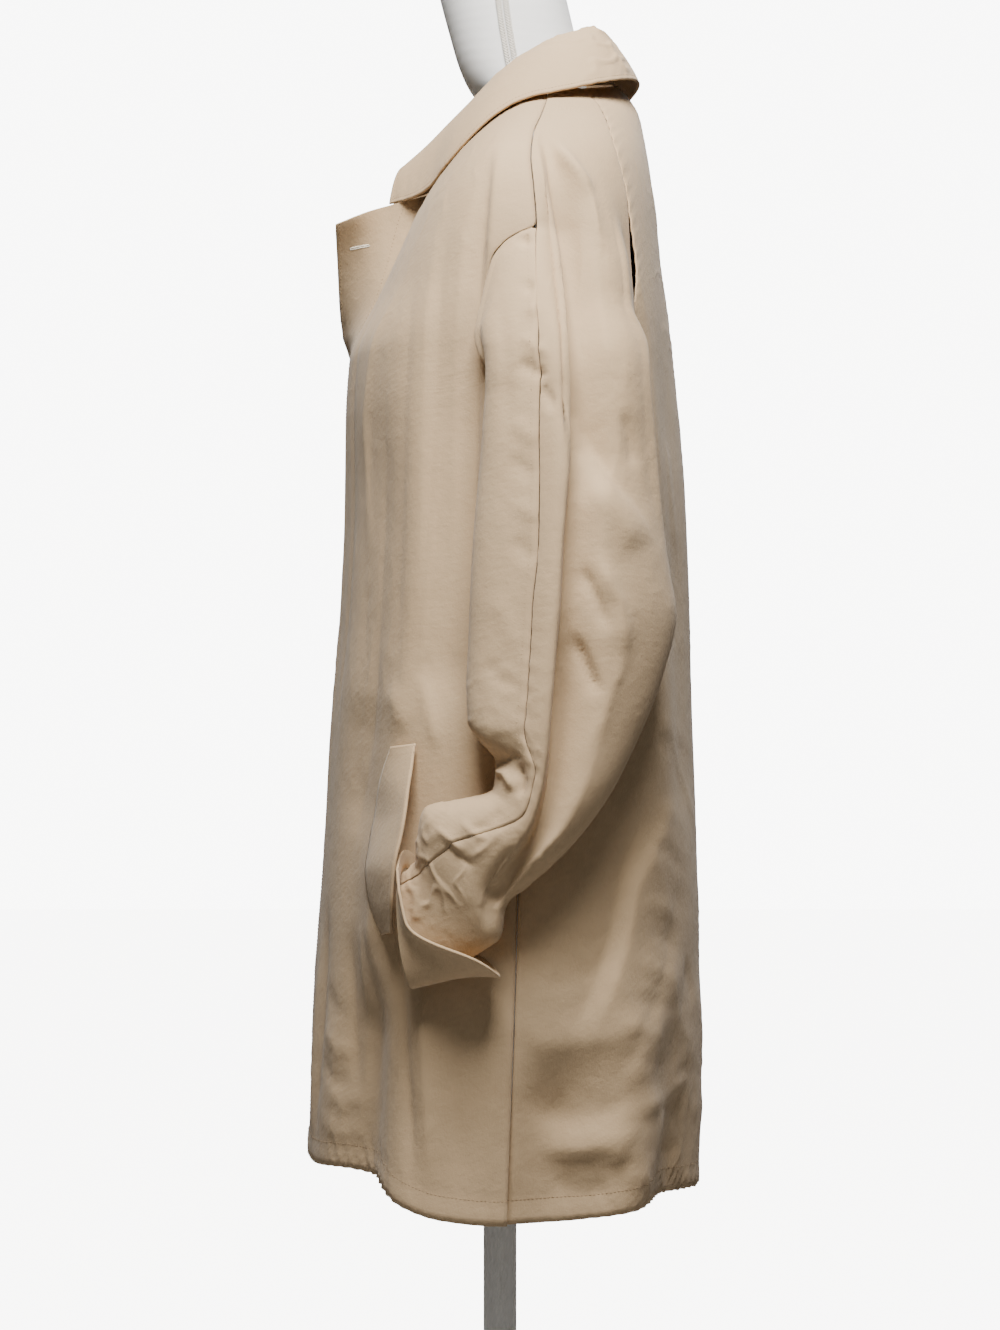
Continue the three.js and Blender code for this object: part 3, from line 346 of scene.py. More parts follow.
def loop(turn, z):
    """The coat's plain section: x is half the width times sin(angle) to the power 2 / 2.3, y runs from the
    side's line to the front or back by cos(angle) to the same power. A turn is 0 at the centre front, 0.5 at
    the wearer's left side and 1 at the centre back; below 0 and above 1 it is on the right."""
    turn, z = np.broadcast_arrays(turn, z)
    side, along = left_turn(turn)
    angle = np.pi * along
    middle = body["side"](z)
    depth = np.where(angle < np.pi / 2, body["front"](z), body["back"](z)) - middle
    x = side * body["half"](z) * np.maximum(np.sin(angle), 0) ** (2 / SQUARE)
    return np.stack((x, middle + depth * np.abs(np.cos(angle)) ** (2 / SQUARE), z), axis=-1)


def loop_normal(turn, z):
    """The plain section's outward direction: the step across it crossed with the step up it."""
    across = loop(turn + 1e-3, z) - loop(turn - 1e-3, z)
    return unit(np.cross(across, loop(turn, z + 1) - loop(turn, z - 1)))


# The form by height: half its width, its front and its back. Between the two tables it follows the coat
FORM_NAMES = ("z", "half", "front", "back")
FORM_TORSO = table(
    FORM_NAMES,
    (600, 158, -88, 102),
    (640, 170, -97, 118),
    (720, 172, -100, 122),
    (800, 160, -94, 108),
    (880, 143, -84, 90),
    (960, 148, -92, 92),
    (1040, 163, -106, 100),
    (1090, 172, -106, 106),
    (1140, 180, -88, 108),
    (1190, 186, -66, 108),
    (1228, 189, -46, 104),
    (1248, 187, -34, 96),
    (1258, 182, -27, 88),
)
FORM_SHOULDER = np.array((1264.0, 1277, 1290, 1301))
FORM_NECK = table(
    FORM_NAMES,
    (1314, 62, -8, 78),
    (1330, 56, -24, 74),
    (1350, 54, -34, 70),
    (1380, 52, -43, 63),
    (1410, 51, -51, 56),
    (1440, 50, -58, 49),
)


def powered(wave, power):
    """A sine or cosine raised to a power, with its sign kept. A power below 1 fills an oval's corners."""
    return np.sign(wave) * np.abs(wave) ** power


def form_rings(rows, share):
    """Ovals of the form: x and y are half its width and depth times the cosine and sine, each to 2 / 2.3."""
    angle = 2 * np.pi * share
    x = powered(np.cos(angle), 2 / SQUARE)
    y = powered(np.sin(angle), 2 / SQUARE)
    half, front, back, z = (rows[name][:, None] for name in ("half", "front", "back", "z"))
    flat = np.broadcast_to(z, (len(z), len(share)))
    return np.stack((half * x, (front + back) / 2 + (back - front) / 2 * y, flat), axis=-1)


def shoulder_rings(heights, share):
    """The coat's own sections drawn in along their normals, and further before and behind the ridge."""
    turn = 0.5 + 2 * share
    turn = np.where(turn > 1.5, turn - 2, turn)
    _, along = left_turn(turn)
    drawn = RIDGE_DRAW * (1 - np.abs(np.sin(np.pi * along)) ** 6)
    turn, z = np.broadcast_arrays(turn, heights[:, None])
    normal = loop_normal(turn, z)
    return loop(turn, z) - normal * (CLOTH + FORM_GAP) - normal * (1, 1, 0) * drawn[..., None]


round_form = np.linspace(0, 1, FORM_COLUMNS, endpoint=False)
key_rings = np.concatenate(
    (
        form_rings(FORM_TORSO, round_form),
        shoulder_rings(FORM_SHOULDER, round_form),
        form_rings(FORM_NECK, round_form),
    )
)
key_heights = np.concatenate((FORM_TORSO["z"], FORM_SHOULDER, FORM_NECK["z"]))
form_surface = through(key_heights, key_rings)(np.linspace(key_heights[0], key_heights[-1], FORM_RINGS))


def mottle(tree, shader, place, shade, light, **noise):
    """Gives a material two shades that noise mixes. A Mix node's colours are inputs 6 and 7 and output 2."""
    pattern = node(tree, "ShaderNodeTexNoise", {"Vector": place.outputs["Object"], **noise})
    shades = {"Factor": pattern.outputs["Fac"], 6: linear(shade), 7: linear(light)}
    colour = node(tree, "ShaderNodeMix", shades, data_type="RGBA")
    tree.links.new(colour.outputs[2], shader.inputs["Base Color"])


jersey, jersey_tree, jersey_shader = finish_of(
    "white cotton jersey", Roughness=0.9, Sheen_Weight=0.3, Sheen_Roughness=0.6
)
jersey_place = node(jersey_tree, "ShaderNodeTexCoord")
mottle(jersey_tree, jersey_shader, jersey_place, COVER_SHADE, COVER_WHITE, Scale=22.0, Detail=4.0)
# Real knit rows are 0.7 mm apart, too fine for the picture, so they are drawn as soft ribs 8.8 mm apart
jersey_knit = {"Scale": WAVE_SPACING_MM / KNIT_SPACING_MM, "Distortion": 3.0, "Detail": 2.0}
jersey_rows = node(
    jersey_tree,
    "ShaderNodeTexWave",
    {"Vector": jersey_place.outputs["Object"], **jersey_knit},
    bands_direction="Z",
)
jersey_bump = node(
    jersey_tree, "ShaderNodeBump", {"Height": jersey_rows.outputs["Fac"], "Strength": 0.2, "Distance": 0.0003}
)
jersey_tree.links.new(jersey_bump.outputs["Normal"], jersey_shader.inputs["Normal"])

mesh_piece("form_cover", *closed_tube(form_surface), jersey, "form_cover", ("form_torso",))
plate_profile = (
    (0, NECK_PLATE_LOW),
    (NECK_PLATE_RADIUS, NECK_PLATE_LOW),
    (NECK_PLATE_RADIUS, NECK_PLATE_HIGH),
    (0, NECK_PLATE_HIGH),
)
turned_solid(
    "form_neck_cap", rounded(plate_profile, 2), jersey, "form_cover", ("form_neck_plate",), NECK_PLATE_FORWARD
)

# Line of the neck's side seam, and the two plaits of three strands on each side of it
NECK_SEAM = table(("z", "y"), (1322, 15), (1345, 10), (1380, 4), (1410, 0), (1439, -4))
BRAID_HALF_WIDTH = 2.0
BRAID_THICK = 1.0
BRAID_STRAND = 0.75
BRAID_REPEAT = 7.0
BRAID_SPACING = 6.0
BRAID_STRANDS = 3
BRAID_POINTS = 210


def tube_faces(count, sides, first):
    """Faces of a tube with so many rings and sides whose vertices start at a number, closed at both ends."""
    index = first + np.arange(count * sides).reshape(count, sides)
    around = np.hstack((index, index[:, :1]))
    return quads(around) + [index[0, ::-1].tolist(), index[-1].tolist()]


def tube(path, radius, sides=6):
    """Rings of a round tube along a path: each ring lies square to the path's direction."""
    along = unit(np.gradient(path, axis=0))
    helper = np.where(np.abs(along[:, 2:]) < 0.9, (0.0, 0.0, 1.0), (1.0, 0.0, 0.0))
    across = unit(np.cross(along, helper))
    up = np.cross(along, across)
    angle = np.linspace(0, -2 * np.pi, sides, endpoint=False)[:, None]
    return path[:, None] + radius * (across[:, None] * np.cos(angle) + up[:, None] * np.sin(angle))


def neck_skin(y, z):
    """A point on the neck's left side at a distance back and a height, from the oval's own equation."""
    half, front, back = (through(FORM_NECK["z"], FORM_NECK[name])(z) for name in ("half", "front", "back"))
    share = np.abs(y - (front + back) / 2) / ((back - front) / 2)
    return np.stack((half * (1 - share**SQUARE) ** (1 / SQUARE), y, z), axis=-1)


def neck_braid(side):
    """Two plaits down the neck. A strand swings across by the sine of its phase and in and out by that of
    twice its phase, and the three strands are a third of a repeat apart."""
    points, faces = [], []
    z = np.linspace(NECK_SEAM["z"][0], NECK_SEAM["z"][-1], BRAID_POINTS)
    middle = through(NECK_SEAM["z"], NECK_SEAM["y"])(z)
    for plait in (-0.5, 0.5):
        for strand in range(BRAID_STRANDS):
            phase = 2 * np.pi * (z / BRAID_REPEAT + strand / BRAID_STRANDS)
            y = middle + plait * BRAID_SPACING + BRAID_HALF_WIDTH * np.sin(phase)
            path = neck_skin(y, z)
            path[:, 0] += BRAID_THICK + BRAID_STRAND * (0.4 + 0.6 * np.sin(2 * phase))
            rings = tube(path, BRAID_STRAND)
            faces += tube_faces(*rings.shape[:2], sum(len(made) for made in points))
            points.append(rings.reshape(-1, 3))
    points = np.vstack(points)
    mesh_piece("neck_braid_" + side, points, faces, braid_cotton, "form_cover", mirror=side == "right")


braid_cotton, _, _ = finish_of(
    "plaited cotton braid", Base_Color=linear(BRAID_WHITE), Roughness=0.8, Sheen_Weight=0.2
)
for side in ("left", "right"):
    neck_braid(side)

# Back
# One wide panel of closely woven beige cotton from the hem to the collar, cut to the raglan seams.
# It hangs free from the shoulder blades, with drag folds low down and a turned-up hem.
ARMPIT = 1062
BACK_YOKE_LEVEL = 1085
NECK_BACK = 1335
# Pieces that are sewn together keep this gap, and a lip rounds each rim by this share of its thickness
SEAM = 0.6
LIP = 0.12
# Rough length of one turn along the cloth, by which distances to a fold are measured
HALF_GIRTH = 700
# Rows of a panel below the armpit, beside the armhole and over the shoulder
SKIRT_ROWS, ARM_ROWS, SHOULDER_ROWS = 13, 8, 7
# Share of the raglan seam, from the neck down, that the rows over the shoulder meet
RAGLAN_CAP = 0.6
HEM_DEPTH = 19
# How round a crease's crest is, how steeply it falls off, and the share of its length over which it fades
CREST = 0.3
CREASE_FALL = 1.8
CREASE_FADE = 0.3
# The cloth is drawn in at the body's sides from the first of these heights to the second
TUCK_HEIGHTS = (590, 420)
BACK_TUCK = 15
BACK_GRID_ROWS, BACK_GRID_COLUMNS = 235, 201
COTTON_LIGHT = "#c4a883"
COTTON_DEEP = "#b59873"
THREAD_BEIGE = "#a38867"
TWILL_SPACING_MM = 5.655
TWILL_SLANT_DEGREES = 63
STITCH_RISE = 0.1

# Height of the hem by turn round the body
HEM = table(
    ("turn", "z"),
    (0, 440),
    (0.12, 443),
    (0.22, 449),
    (0.27, 449),
    (0.31, 444),
    (0.36, 433),
    (0.42, 424),
    (0.5, 420),
    (0.62, 423),
    (0.74, 429),
    (0.86, 424),
    (1, 418),
)
hem_height = through(HEM["turn"], HEM["z"])

# Raglan seam on the back, from the neck to the armpit
RAGLAN = table(
    ("at", "z", "turn"),
    (0, 1320, 0.604),
    (0.12, 1300, 0.66),
    (0.32, 1262, 0.707),
    (0.5, 1212, 0.74),
    (0.62, 1172, 0.742),
    (0.75, 1133, 0.726),
    (0.84, 1106, 0.694),
    (0.92, 1082, 0.622),
    (1, 1062, 0.5),
)
raglan = {name: through(RAGLAN["at"], RAGLAN[name]) for name in ("z", "turn")}

# Largest folds of the body cloth: each runs from one turn and height to another and swells by its height.
# side is 1 for the wearer's left, -1 for the right and 0 for both
FOLDS = (
    ("hollow before the sleeve", 0, 0.385, 1120, 0.39, 850, 34, -9),
    ("ridge beside that hollow", 0, 0.315, 1130, 0.32, 760, 32, 3),
    ("chest drape", 0, 0.22, 1130, 0.23, 640, 36, -4),
    ("front hem hollow", 1, 0.27, 640, 0.255, 400, 40, -17),
    ("front hem hollow right", -1, 0.24, 600, 0.27, 400, 40, -14),
    ("front hem flute", 0, 0.37, 640, 0.38, 400, 42, 9),
    ("pocket swell", 0, 0.29, 720, 0.31, 620, 40, 8),
    ("side hem hollow", 0, 0.56, 560, 0.54, 400, 40, -9),
    ("back hem flute", 0, 0.66, 620, 0.67, 400, 44, 8),
    ("back drag fold", 0, 0.8, 640, 0.6, 480, 32, 6),
    ("lower drag fold", 1, 0.86, 540, 0.62, 430, 30, 5),
    ("back hollow", 0, 0.79, 560, 0.8, 400, 40, -10),
    ("back centre flute", 0, 0.9, 600, 0.91, 400, 42, 5),
    ("shoulder blade drape", 0, 0.85, 1150, 0.85, 760, 40, -5),
)


# Creases of the back's side, seen from the wearer's left: a path of places back and height, how wide the
# crease is to the left and right of it, and how high it stands. Drag folds run from the seat to the side
BACK_CREASES = (
    (((146, 752), (124, 712), (104, 676), (95, 630), (80, 586), (62, 548)), 34, 8, 5.6),
    (((116, 742), (98, 690), (84, 630), (54, 560)), 9, 30, -4.3),
    (((150, 690), (132, 610), (112, 560), (84, 520)), 22, 20, -3.7),
    (((28, 472), (70, 476), (114, 468)), 34, 7, 5.6),
    (((62, 486), (84, 482), (112, 486)), 10, 5, 1.9),
    (((36, 452), (66, 446), (92, 450)), 5, 12, -2.5),
    (((106, 503), (130, 506), (152, 517)), 24, 7, 5),
    (((122, 524), (138, 528), (152, 538)), 9, 5, 1.9),
    (((10, 512), (52, 500), (90, 506), (130, 534)), 50, 16, -5),
    (((10, 560), (44, 556), (84, 562), (120, 574)), 26, 22, 3.1),
    (((16, 600), (48, 594), (84, 606)), 7, 12, 1.2),
    (((116, 790), (134, 780), (146, 758)), 7, 8, -1.9),
    (((122, 800), (142, 792), (152, 778)), 6, 6, 1.6),
    (((120, 732), (136, 728), (150, 716)), 5, 4, 1.9),
    (((108, 706), (130, 700), (154, 676)), 4, 6, -1.9),
    (((104, 660), (128, 654), (152, 632)), 9, 4, 2),
    (((112, 640), (134, 630), (152, 612)), 4, 7, -1.9),
    (((96, 618), (124, 606), (150, 590)), 10, 4, 2.1),
    (((92, 594), (122, 584), (150, 574)), 4, 8, -1.9),
    (((88, 570), (108, 566), (136, 552)), 8, 4, 1.9),
    (((112, 480), (130, 462), (146, 458)), 6, 9, -2.1),
    (((96, 462), (112, 448), (132, 440)), 10, 6, 1.9),
    (((134, 490), (142, 460), (144, 428)), 8, 8, 1.9),
    (((8, 560), (14, 490), (12, 425)), 14, 16, 1.9),
    (((40, 530), (46, 480), (42, 425)), 14, 12, -1.9),
    (((70, 1200), (96, 1120), (112, 1020), (120, 900)), 10, 14, -1.9),
    (((96, 1210), (118, 1100), (130, 960)), 12, 10, 1.6),
    (((124, 980), (134, 900), (138, 800)), 9, 12, -1.6),
)


def swell_at(turn, z):
    """How far the folds carry the cloth out: each is a bell curve of the distance to its line, which fades in
    from its first end."""
    turn, z = np.broadcast_arrays(turn, z)
    side, along = left_turn(turn)
    total = np.zeros(turn.shape)
    for _, on, turn0, z0, turn1, z1, width, height in FOLDS:
        run_x, run_z = (turn1 - turn0) * HALF_GIRTH, z1 - z0
        x = (along - turn0) * HALF_GIRTH
        share = (x * run_x + (z - z0) * run_z) / (run_x**2 + run_z**2)
        held = np.clip(share, 0, 1)
        away = np.hypot(x - held * run_x, z - z0 - held * run_z) / width
        wanted = (side == on) | (on == 0)
        total = total + wanted * height * smooth(share, -0.1, 0.35) * np.exp(-(away**2))
    return total


def body_point(turn, z):
    """A point of the coat's body: its plain section, moved out by the folds."""
    turn, z = np.broadcast_arrays(turn, z)
    return loop(turn, z) + loop_normal(turn, z) * swell_at(turn, z)[..., None]


def waves(points, length, seed, count=28):
    """A soft random field from about -1 to 1: a sum of plane waves of about one length in all directions."""
    draw = np.random.default_rng(seed)
    direction = unit(draw.normal(size=(count, 3)))
    number = 2 * np.pi / (length * draw.uniform(0.75, 1.4, size=count))
    phase = draw.uniform(0, 2 * np.pi, size=count)
    return np.sin(points @ (direction * number[:, None]).T + phase).sum(axis=-1) / math.sqrt(count / 2) / 1.6


def crumple(points, length, seed):
    """Fine creases of worn cotton: sharp where a warped random field crosses nought, strong in patches."""
    field = waves(points, length, seed) + 0.35 * waves(points, length * 0.4, seed + 1)
    patch = smooth(waves(points, length * 2.6, seed + 2), -0.1, 0.9)
    return patch * np.exp(-((field / 0.16) ** 2))


def grid_normals(grid, closed=False):
    """Outward directions of a grid: the step along its rows crossed with the step up its columns."""
    if closed:
        across = np.roll(grid, -1, axis=1) - np.roll(grid, 1, axis=1)
    else:
        across = np.gradient(grid, axis=1)
    return unit(np.cross(across, np.gradient(grid, axis=0)))


def rims(grid):
    """Distance in millimetres from each of a grid's four rims, measured along its rows and columns."""
    along = np.linalg.norm(np.diff(grid, axis=1), axis=-1)
    up = np.linalg.norm(np.diff(grid, axis=0), axis=-1)
    left = np.pad(np.cumsum(along, axis=1), ((0, 0), (1, 0)))
    foot = np.pad(np.cumsum(up, axis=0), ((1, 0), (0, 0)))
    return {"left": left, "right": left[:, -1:] - left, "foot": foot, "top": foot[-1:] - foot}


def puckers(away, along, seed, length=13.0, depth=0.8, reach=13.0):
    """Small ridges square to a seam: a sine of the distance along it, whose pitch and height drift, fading
    with the distance away from it."""
    draw = np.random.default_rng(seed)
    drift = sum(np.sin(along / draw.uniform(25, 70) + draw.uniform(0, 6.3)) for _ in range(4))
    strength = 0.55 + 0.45 * np.sin(along / draw.uniform(30, 60) + draw.uniform(0, 6.3))
    return depth * strength * np.sin(2 * np.pi * along / length + 1.3 * drift) * np.exp(-away / reach)


def lifted(grid, height, closed=False):
    """A grid moved out by a height along its normals."""
    return grid + grid_normals(grid, closed) * np.broadcast_to(height, grid.shape[:2])[..., None]


def shell(name, grid, material, thick=CLOTH, closed=False, mirror=False):
    """A piece of cloth with real thickness, in the place of the solid of that name. The outer grid is drawn
    in by half a seam at its rims, the inner one lies one thickness behind, and a rounded lip joins them all
    round."""
    outer = grid
    normals = grid_normals(outer, closed)
    out = np.zeros_like(outer)
    rim = np.zeros(outer.shape[:2], dtype=bool)
    for here, there in ((0, 1), (-1, -2)):
        out[here] += unit(outer[here] - outer[there])
        rim[here] = True
        if not closed:
            out[:, here] += unit(outer[:, here] - outer[:, there])
            rim[:, here] = True
    outer = outer - unit(out) * rim[..., None] * (SEAM / 2 + LIP * thick)
    inner = outer - normals * thick
    lips = ((outer + inner) / 2 + unit(out) * LIP * thick)[rim]
    count = rim.size
    front = np.arange(count).reshape(rim.shape)
    back = front + count
    lip = np.full(rim.shape, -1)
    lip[rim] = 2 * count + np.arange(len(lips))
    if closed:
        front, back, lip = (np.hstack((index, index[:, :1])) for index in (front, back, lip))
    faces = quads(front) + quads(back[:, ::-1])
    faces += quads(np.stack((back[0], lip[0], front[0])))
    faces += quads(np.stack((front[-1], lip[-1], back[-1])))
    if not closed:
        faces += quads(np.stack((back[:, 0], lip[:, 0], front[:, 0]), axis=1))
        faces += quads(np.stack((front[:, -1], lip[:, -1], back[:, -1]), axis=1))
    points = np.vstack((outer.reshape(-1, 3), inner.reshape(-1, 3), lips))
    far = rims(grid)
    flat = np.stack((far["left"], far["foot"]), axis=-1) / 1000
    uv = np.vstack((flat.reshape(-1, 2), flat.reshape(-1, 2), flat[rim]))
    return mesh_piece(name + "_cloth", points, faces, material, "coat_cotton", (name,), mirror, uv)


def crease(a, b, path, left, right, height):
    """One crease drawn on the plane of a view. It falls off from a rounded crest, with left as its width on
    the left of someone who walks along its path and right on the other side, and it fades at both ends."""
    path = np.array(path, dtype=float)
    step = np.diff(path, axis=0)
    long = np.hypot(*step.T)
    away = np.full(a.shape, np.inf)
    gone = np.zeros(a.shape)
    for (a0, b0), (da, db), length, start in zip(path, step, long, np.cumsum(long) - long):
        share = np.clip(((a - a0) * da + (b - b0) * db) / length**2, 0, 1)
        off_a, off_b = a - a0 - share * da, b - b0 - share * db
        here = np.copysign(np.hypot(off_a, off_b), da * off_b - db * off_a)
        nearer = np.abs(here) < np.abs(away)
        away = np.where(nearer, here, away)
        gone = np.where(nearer, start + share * length, gone)
    total = long.sum()
    fade_from, fade_to = -0.02 * total, CREASE_FADE * total
    fade = smooth(gone, fade_from, fade_to) * smooth(total - gone, fade_from, fade_to)
    share = away / np.where(away > 0, left, right)
    return height * fade * np.exp(CREST - CREASE_FALL * np.hypot(share, CREST / CREASE_FALL))


def creased(grid, creases, across=1, facing=(1, 0), seed=None):
    """The sum of a table of creases on the part of a grid that faces one way. A view is the plane of the axis
    across and of height. With a seed each crease is shifted, bent and made higher or lower."""
    draw = np.random.default_rng(seed)
    normal = grid_normals(grid)
    seen = smooth(normal[..., 0] * facing[0] + normal[..., 1] * facing[1], 0.1, 0.45)
    total = np.zeros(grid.shape[:2])
    for path, left, right, height in creases:
        path = np.array(path, dtype=float)
        if seed is not None:
            path = path + draw.normal(0, 9, size=2) + draw.normal(0, 5, size=path.shape)
            height = height * draw.uniform(0.5, 1.1)
        total += crease(grid[..., across], grid[..., 2], path, left, right, height)
    return total * seen


def scattered(seed, count, box, slant, height=2.2):
    """A table of drag creases spread over a box of a view, most of them near one slant, of uneven length."""
    draw = np.random.default_rng(seed)
    made = []
    for _ in range(count):
        start = draw.uniform(box[0], box[1])
        run = draw.uniform(40, 150)
        angle = math.radians(slant + draw.normal(0, 16))
        way = np.array((math.cos(angle), math.sin(angle)))
        bend = draw.normal(0, 0.1) * run * np.array((-way[1], way[0]))
        wide = draw.uniform(7, 24, size=2)
        path = (start, start + way * run / 2 + bend, start + way * run)
        made.append((path, *wide, height * draw.uniform(-1, 1)))
    return made


def raglan_share(row):
    """Share of the raglan seam for a row of the back sleeve, counted from the neck."""
    upper = RAGLAN_CAP * row / SHOULDER_ROWS
    return np.where(row <= SHOULDER_ROWS, upper, lerp(RAGLAN_CAP, 1, (row - SHOULDER_ROWS) / ARM_ROWS))


def back_surface(row, share):
    """The back by row from the hem up and share across from the left: each row runs level from the seams to
    the centre, where it is a little higher or lower."""
    towards = 1 - np.abs(2 * share - 1)
    skirt = row / SKIRT_ROWS
    low = hem_height(lerp(0.5, 1, towards))
    skirt_z = lerp(low, lerp(ARMPIT, BACK_YOKE_LEVEL, smooth(towards, 0, 1)), skirt)
    at = (row - SKIRT_ROWS) / (ARM_ROWS + SHOULDER_ROWS)
    seam = raglan_share(SHOULDER_ROWS + ARM_ROWS - (row - SKIRT_ROWS))
    upper_z = lerp(raglan["z"](seam), lerp(BACK_YOKE_LEVEL, NECK_BACK, at), towards)
    below = row <= SKIRT_ROWS
    along = lerp(np.where(below, 0.5, raglan["turn"](seam)), 1, towards)
    return np.where(share <= 0.5, along, 2 - along), np.where(below, skirt_z, upper_z)


def hem_lift(far, seed, depth=1.5):
    """The turned-up hem: twisted puckers below its stitching, a groove along it and a soft roll above."""
    along = far["left"] + 0.7 * far["foot"]
    below = smooth(far["foot"], HEM_DEPTH + 3, HEM_DEPTH - 3)
    groove = -0.7 * np.exp(-(((far["foot"] - HEM_DEPTH) / 2.2) ** 2))
    above = puckers(np.abs(far["foot"] - HEM_DEPTH), along, seed + 1, 17, 0.5, 12)
    return below * puckers(0 * along, along, seed, 12, depth, 20) + groove + above + 0.5 * below


def seam_groove(away):
    """The cloth turns down into a seam over the last two or three millimetres."""
    return -0.45 * np.exp(-((away / 2.4) ** 2))


def line_at(field, away, distance):
    """A row of values from a field over a grid, where the distance from its foot reaches a given value."""
    row = np.clip((away < distance).sum(axis=0), 1, len(away) - 1)
    column = np.arange(away.shape[1])
    low, high = away[row - 1, column], away[row, column]
    share = np.clip((distance - low) / np.maximum(high - low, 1e-9), 0, 1)[:, None]
    return lerp(field[row - 1, column], field[row, column], share)


def stitch_line(grid, away, distance):
    """The path and outward directions of a row of stitches on a grid, at a distance from its foot."""
    return line_at(grid, away, distance), line_at(grid_normals(grid), away, distance)


def read_along(values, run, where):
    """Values at the points of a path, read between them at given distances along it."""
    return np.stack([np.interp(where, run, axis) for axis in values.T], axis=-1)


def sewn(name, lines, pitch=3.2, long=2.3, wide=0.32, square=False, thread=None, mirror=False):
    """Rows of stitches as one mesh. Each is a lozenge of six points, half sunk in the cloth, that lies along
    its line, or square to it."""
    points = []
    for path, normal in lines:
        step = np.linalg.norm(np.diff(path, axis=0), axis=1)
        run = np.concatenate(([0.0], np.cumsum(step)))
        at = np.arange(pitch / 2, run[-1], pitch)
        out = unit(read_along(normal, run, at))
        along = unit(read_along(path, run, at + 0.4) - read_along(path, run, at - 0.4))
        side = unit(np.cross(out, along))
        along, side = (side, along) if square else (along, side)
        middle = read_along(path, run, at) + STITCH_RISE * out
        spread = (along * long / 2, side * wide, -along * long / 2, -side * wide, out * wide, -out * wide)
        points.append(middle[:, None] + np.stack(spread, axis=1))
    points = np.concatenate(points)
    around = np.array([(a, (a + 1) % 4, 4) for a in range(4)] + [((a + 1) % 4, a, 5) for a in range(4)])
    faces = (around + 6 * np.arange(len(points))[:, None, None]).reshape(-1, 3).tolist()
    mesh_piece(name, points.reshape(-1, 3), faces, thread or cotton_thread, "coat_cotton", mirror=mirror)


cotton_thread, _, _ = finish_of("beige cotton thread", Base_Color=linear(THREAD_BEIGE), Roughness=0.6)

cotton, cotton_tree, cotton_shader = finish_of(
    "beige cotton gabardine", Roughness=0.82, Sheen_Weight=0.12, Sheen_Roughness=0.5, IOR=1.45
)
# Tight twill of combed cotton: matt, with a faint bloom at grazing angles and tones that have faded unevenly
cotton_place = node(cotton_tree, "ShaderNodeTexCoord")
cotton_fade = {"Scale": 9.0, "Detail": 5.0, "Roughness": 0.62}
mottle(cotton_tree, cotton_shader, cotton_place, COTTON_DEEP, COTTON_LIGHT, **cotton_fade)
# Real threads are about 0.3 mm apart, too fine for the picture, so the twill is drawn as ribs 5.7 mm apart
cotton_slant = node(
    cotton_tree,
    "ShaderNodeMapping",
    {"Vector": cotton_place.outputs["UV"], "Rotation": (0.0, 0.0, math.radians(TWILL_SLANT_DEGREES))},
)
cotton_weave = {"Scale": WAVE_SPACING_MM / TWILL_SPACING_MM, "Distortion": 1.2, "Detail": 2.0}
cotton_twill = node(
    cotton_tree, "ShaderNodeTexWave", {"Vector": cotton_slant.outputs["Vector"], **cotton_weave}
)
cotton_slub = node(
    cotton_tree,
    "ShaderNodeTexNoise",
    {"Vector": cotton_place.outputs["Object"], "Scale": 70.0, "Detail": 7.0, "Roughness": 0.7},
)
cotton_bump = node(
    cotton_tree,
    "ShaderNodeBump",
    {"Height": cotton_twill.outputs["Fac"], "Strength": 0.12, "Distance": 0.0002},
)
cotton_nap = node(
    cotton_tree,
    "ShaderNodeBump",
    {
        "Height": cotton_slub.outputs["Fac"],
        "Strength": 0.5,
        "Distance": 0.0016,
        "Normal": cotton_bump.outputs["Normal"],
    },
)
cotton_tree.links.new(cotton_nap.outputs["Normal"], cotton_shader.inputs["Normal"])


def hem_tuck(grid, z, depth):
    """How far the cloth above the hem is drawn in where it faces sideways: by the cube of its normal's x."""
    return depth * smooth(z, *TUCK_HEIGHTS) * np.abs(grid_normals(grid)[..., 0]) ** 3


back_rows = np.linspace(0, SKIRT_ROWS + ARM_ROWS + SHOULDER_ROWS, BACK_GRID_ROWS)[:, None]
back_shares = np.linspace(0, 1, BACK_GRID_COLUMNS)[None, :]
# Columns lie closer together near the side seams
back_shares = back_shares - 0.07 * np.sin(2 * np.pi * back_shares)
back_turn, back_z = back_surface(back_rows, back_shares)
back_grid = body_point(back_turn, back_z)
back_far = rims(back_grid)
back_edge = np.minimum(back_far["left"], back_far["right"])
back_lift = (
    creased(back_grid, BACK_CREASES)
    + creased(back_grid, BACK_CREASES, 1, (-1, 0), 13)
    + creased(back_grid, scattered(14, 26, ((-190, 470), (190, 700)), 40), 0, (0, 1))
    + creased(back_grid, scattered(15, 10, ((-140, 900), (140, 1200)), 100, 1.5), 0, (0, 1))
    + 1.3 * crumple(back_grid, 80, 11) * smooth(back_z, 900, 560)
    + 0.5 * crumple(back_grid, 60, 16)
    + 0.35 * crumple(back_grid, 28, 18)
    - hem_tuck(back_grid, back_z, BACK_TUCK)
    + 0.7 * waves(back_grid, 150, 17)
    + hem_lift(back_far, 21)
    + puckers(back_edge, back_far["foot"], 23, 14, 0.5, 10)
    + seam_groove(back_edge)
)
back_outer = lifted(back_grid, back_lift)
back = shell("back", back_outer, cotton)
sewn("back_hem_stitches", [stitch_line(back_outer, back_far["foot"], HEM_DEPTH)])

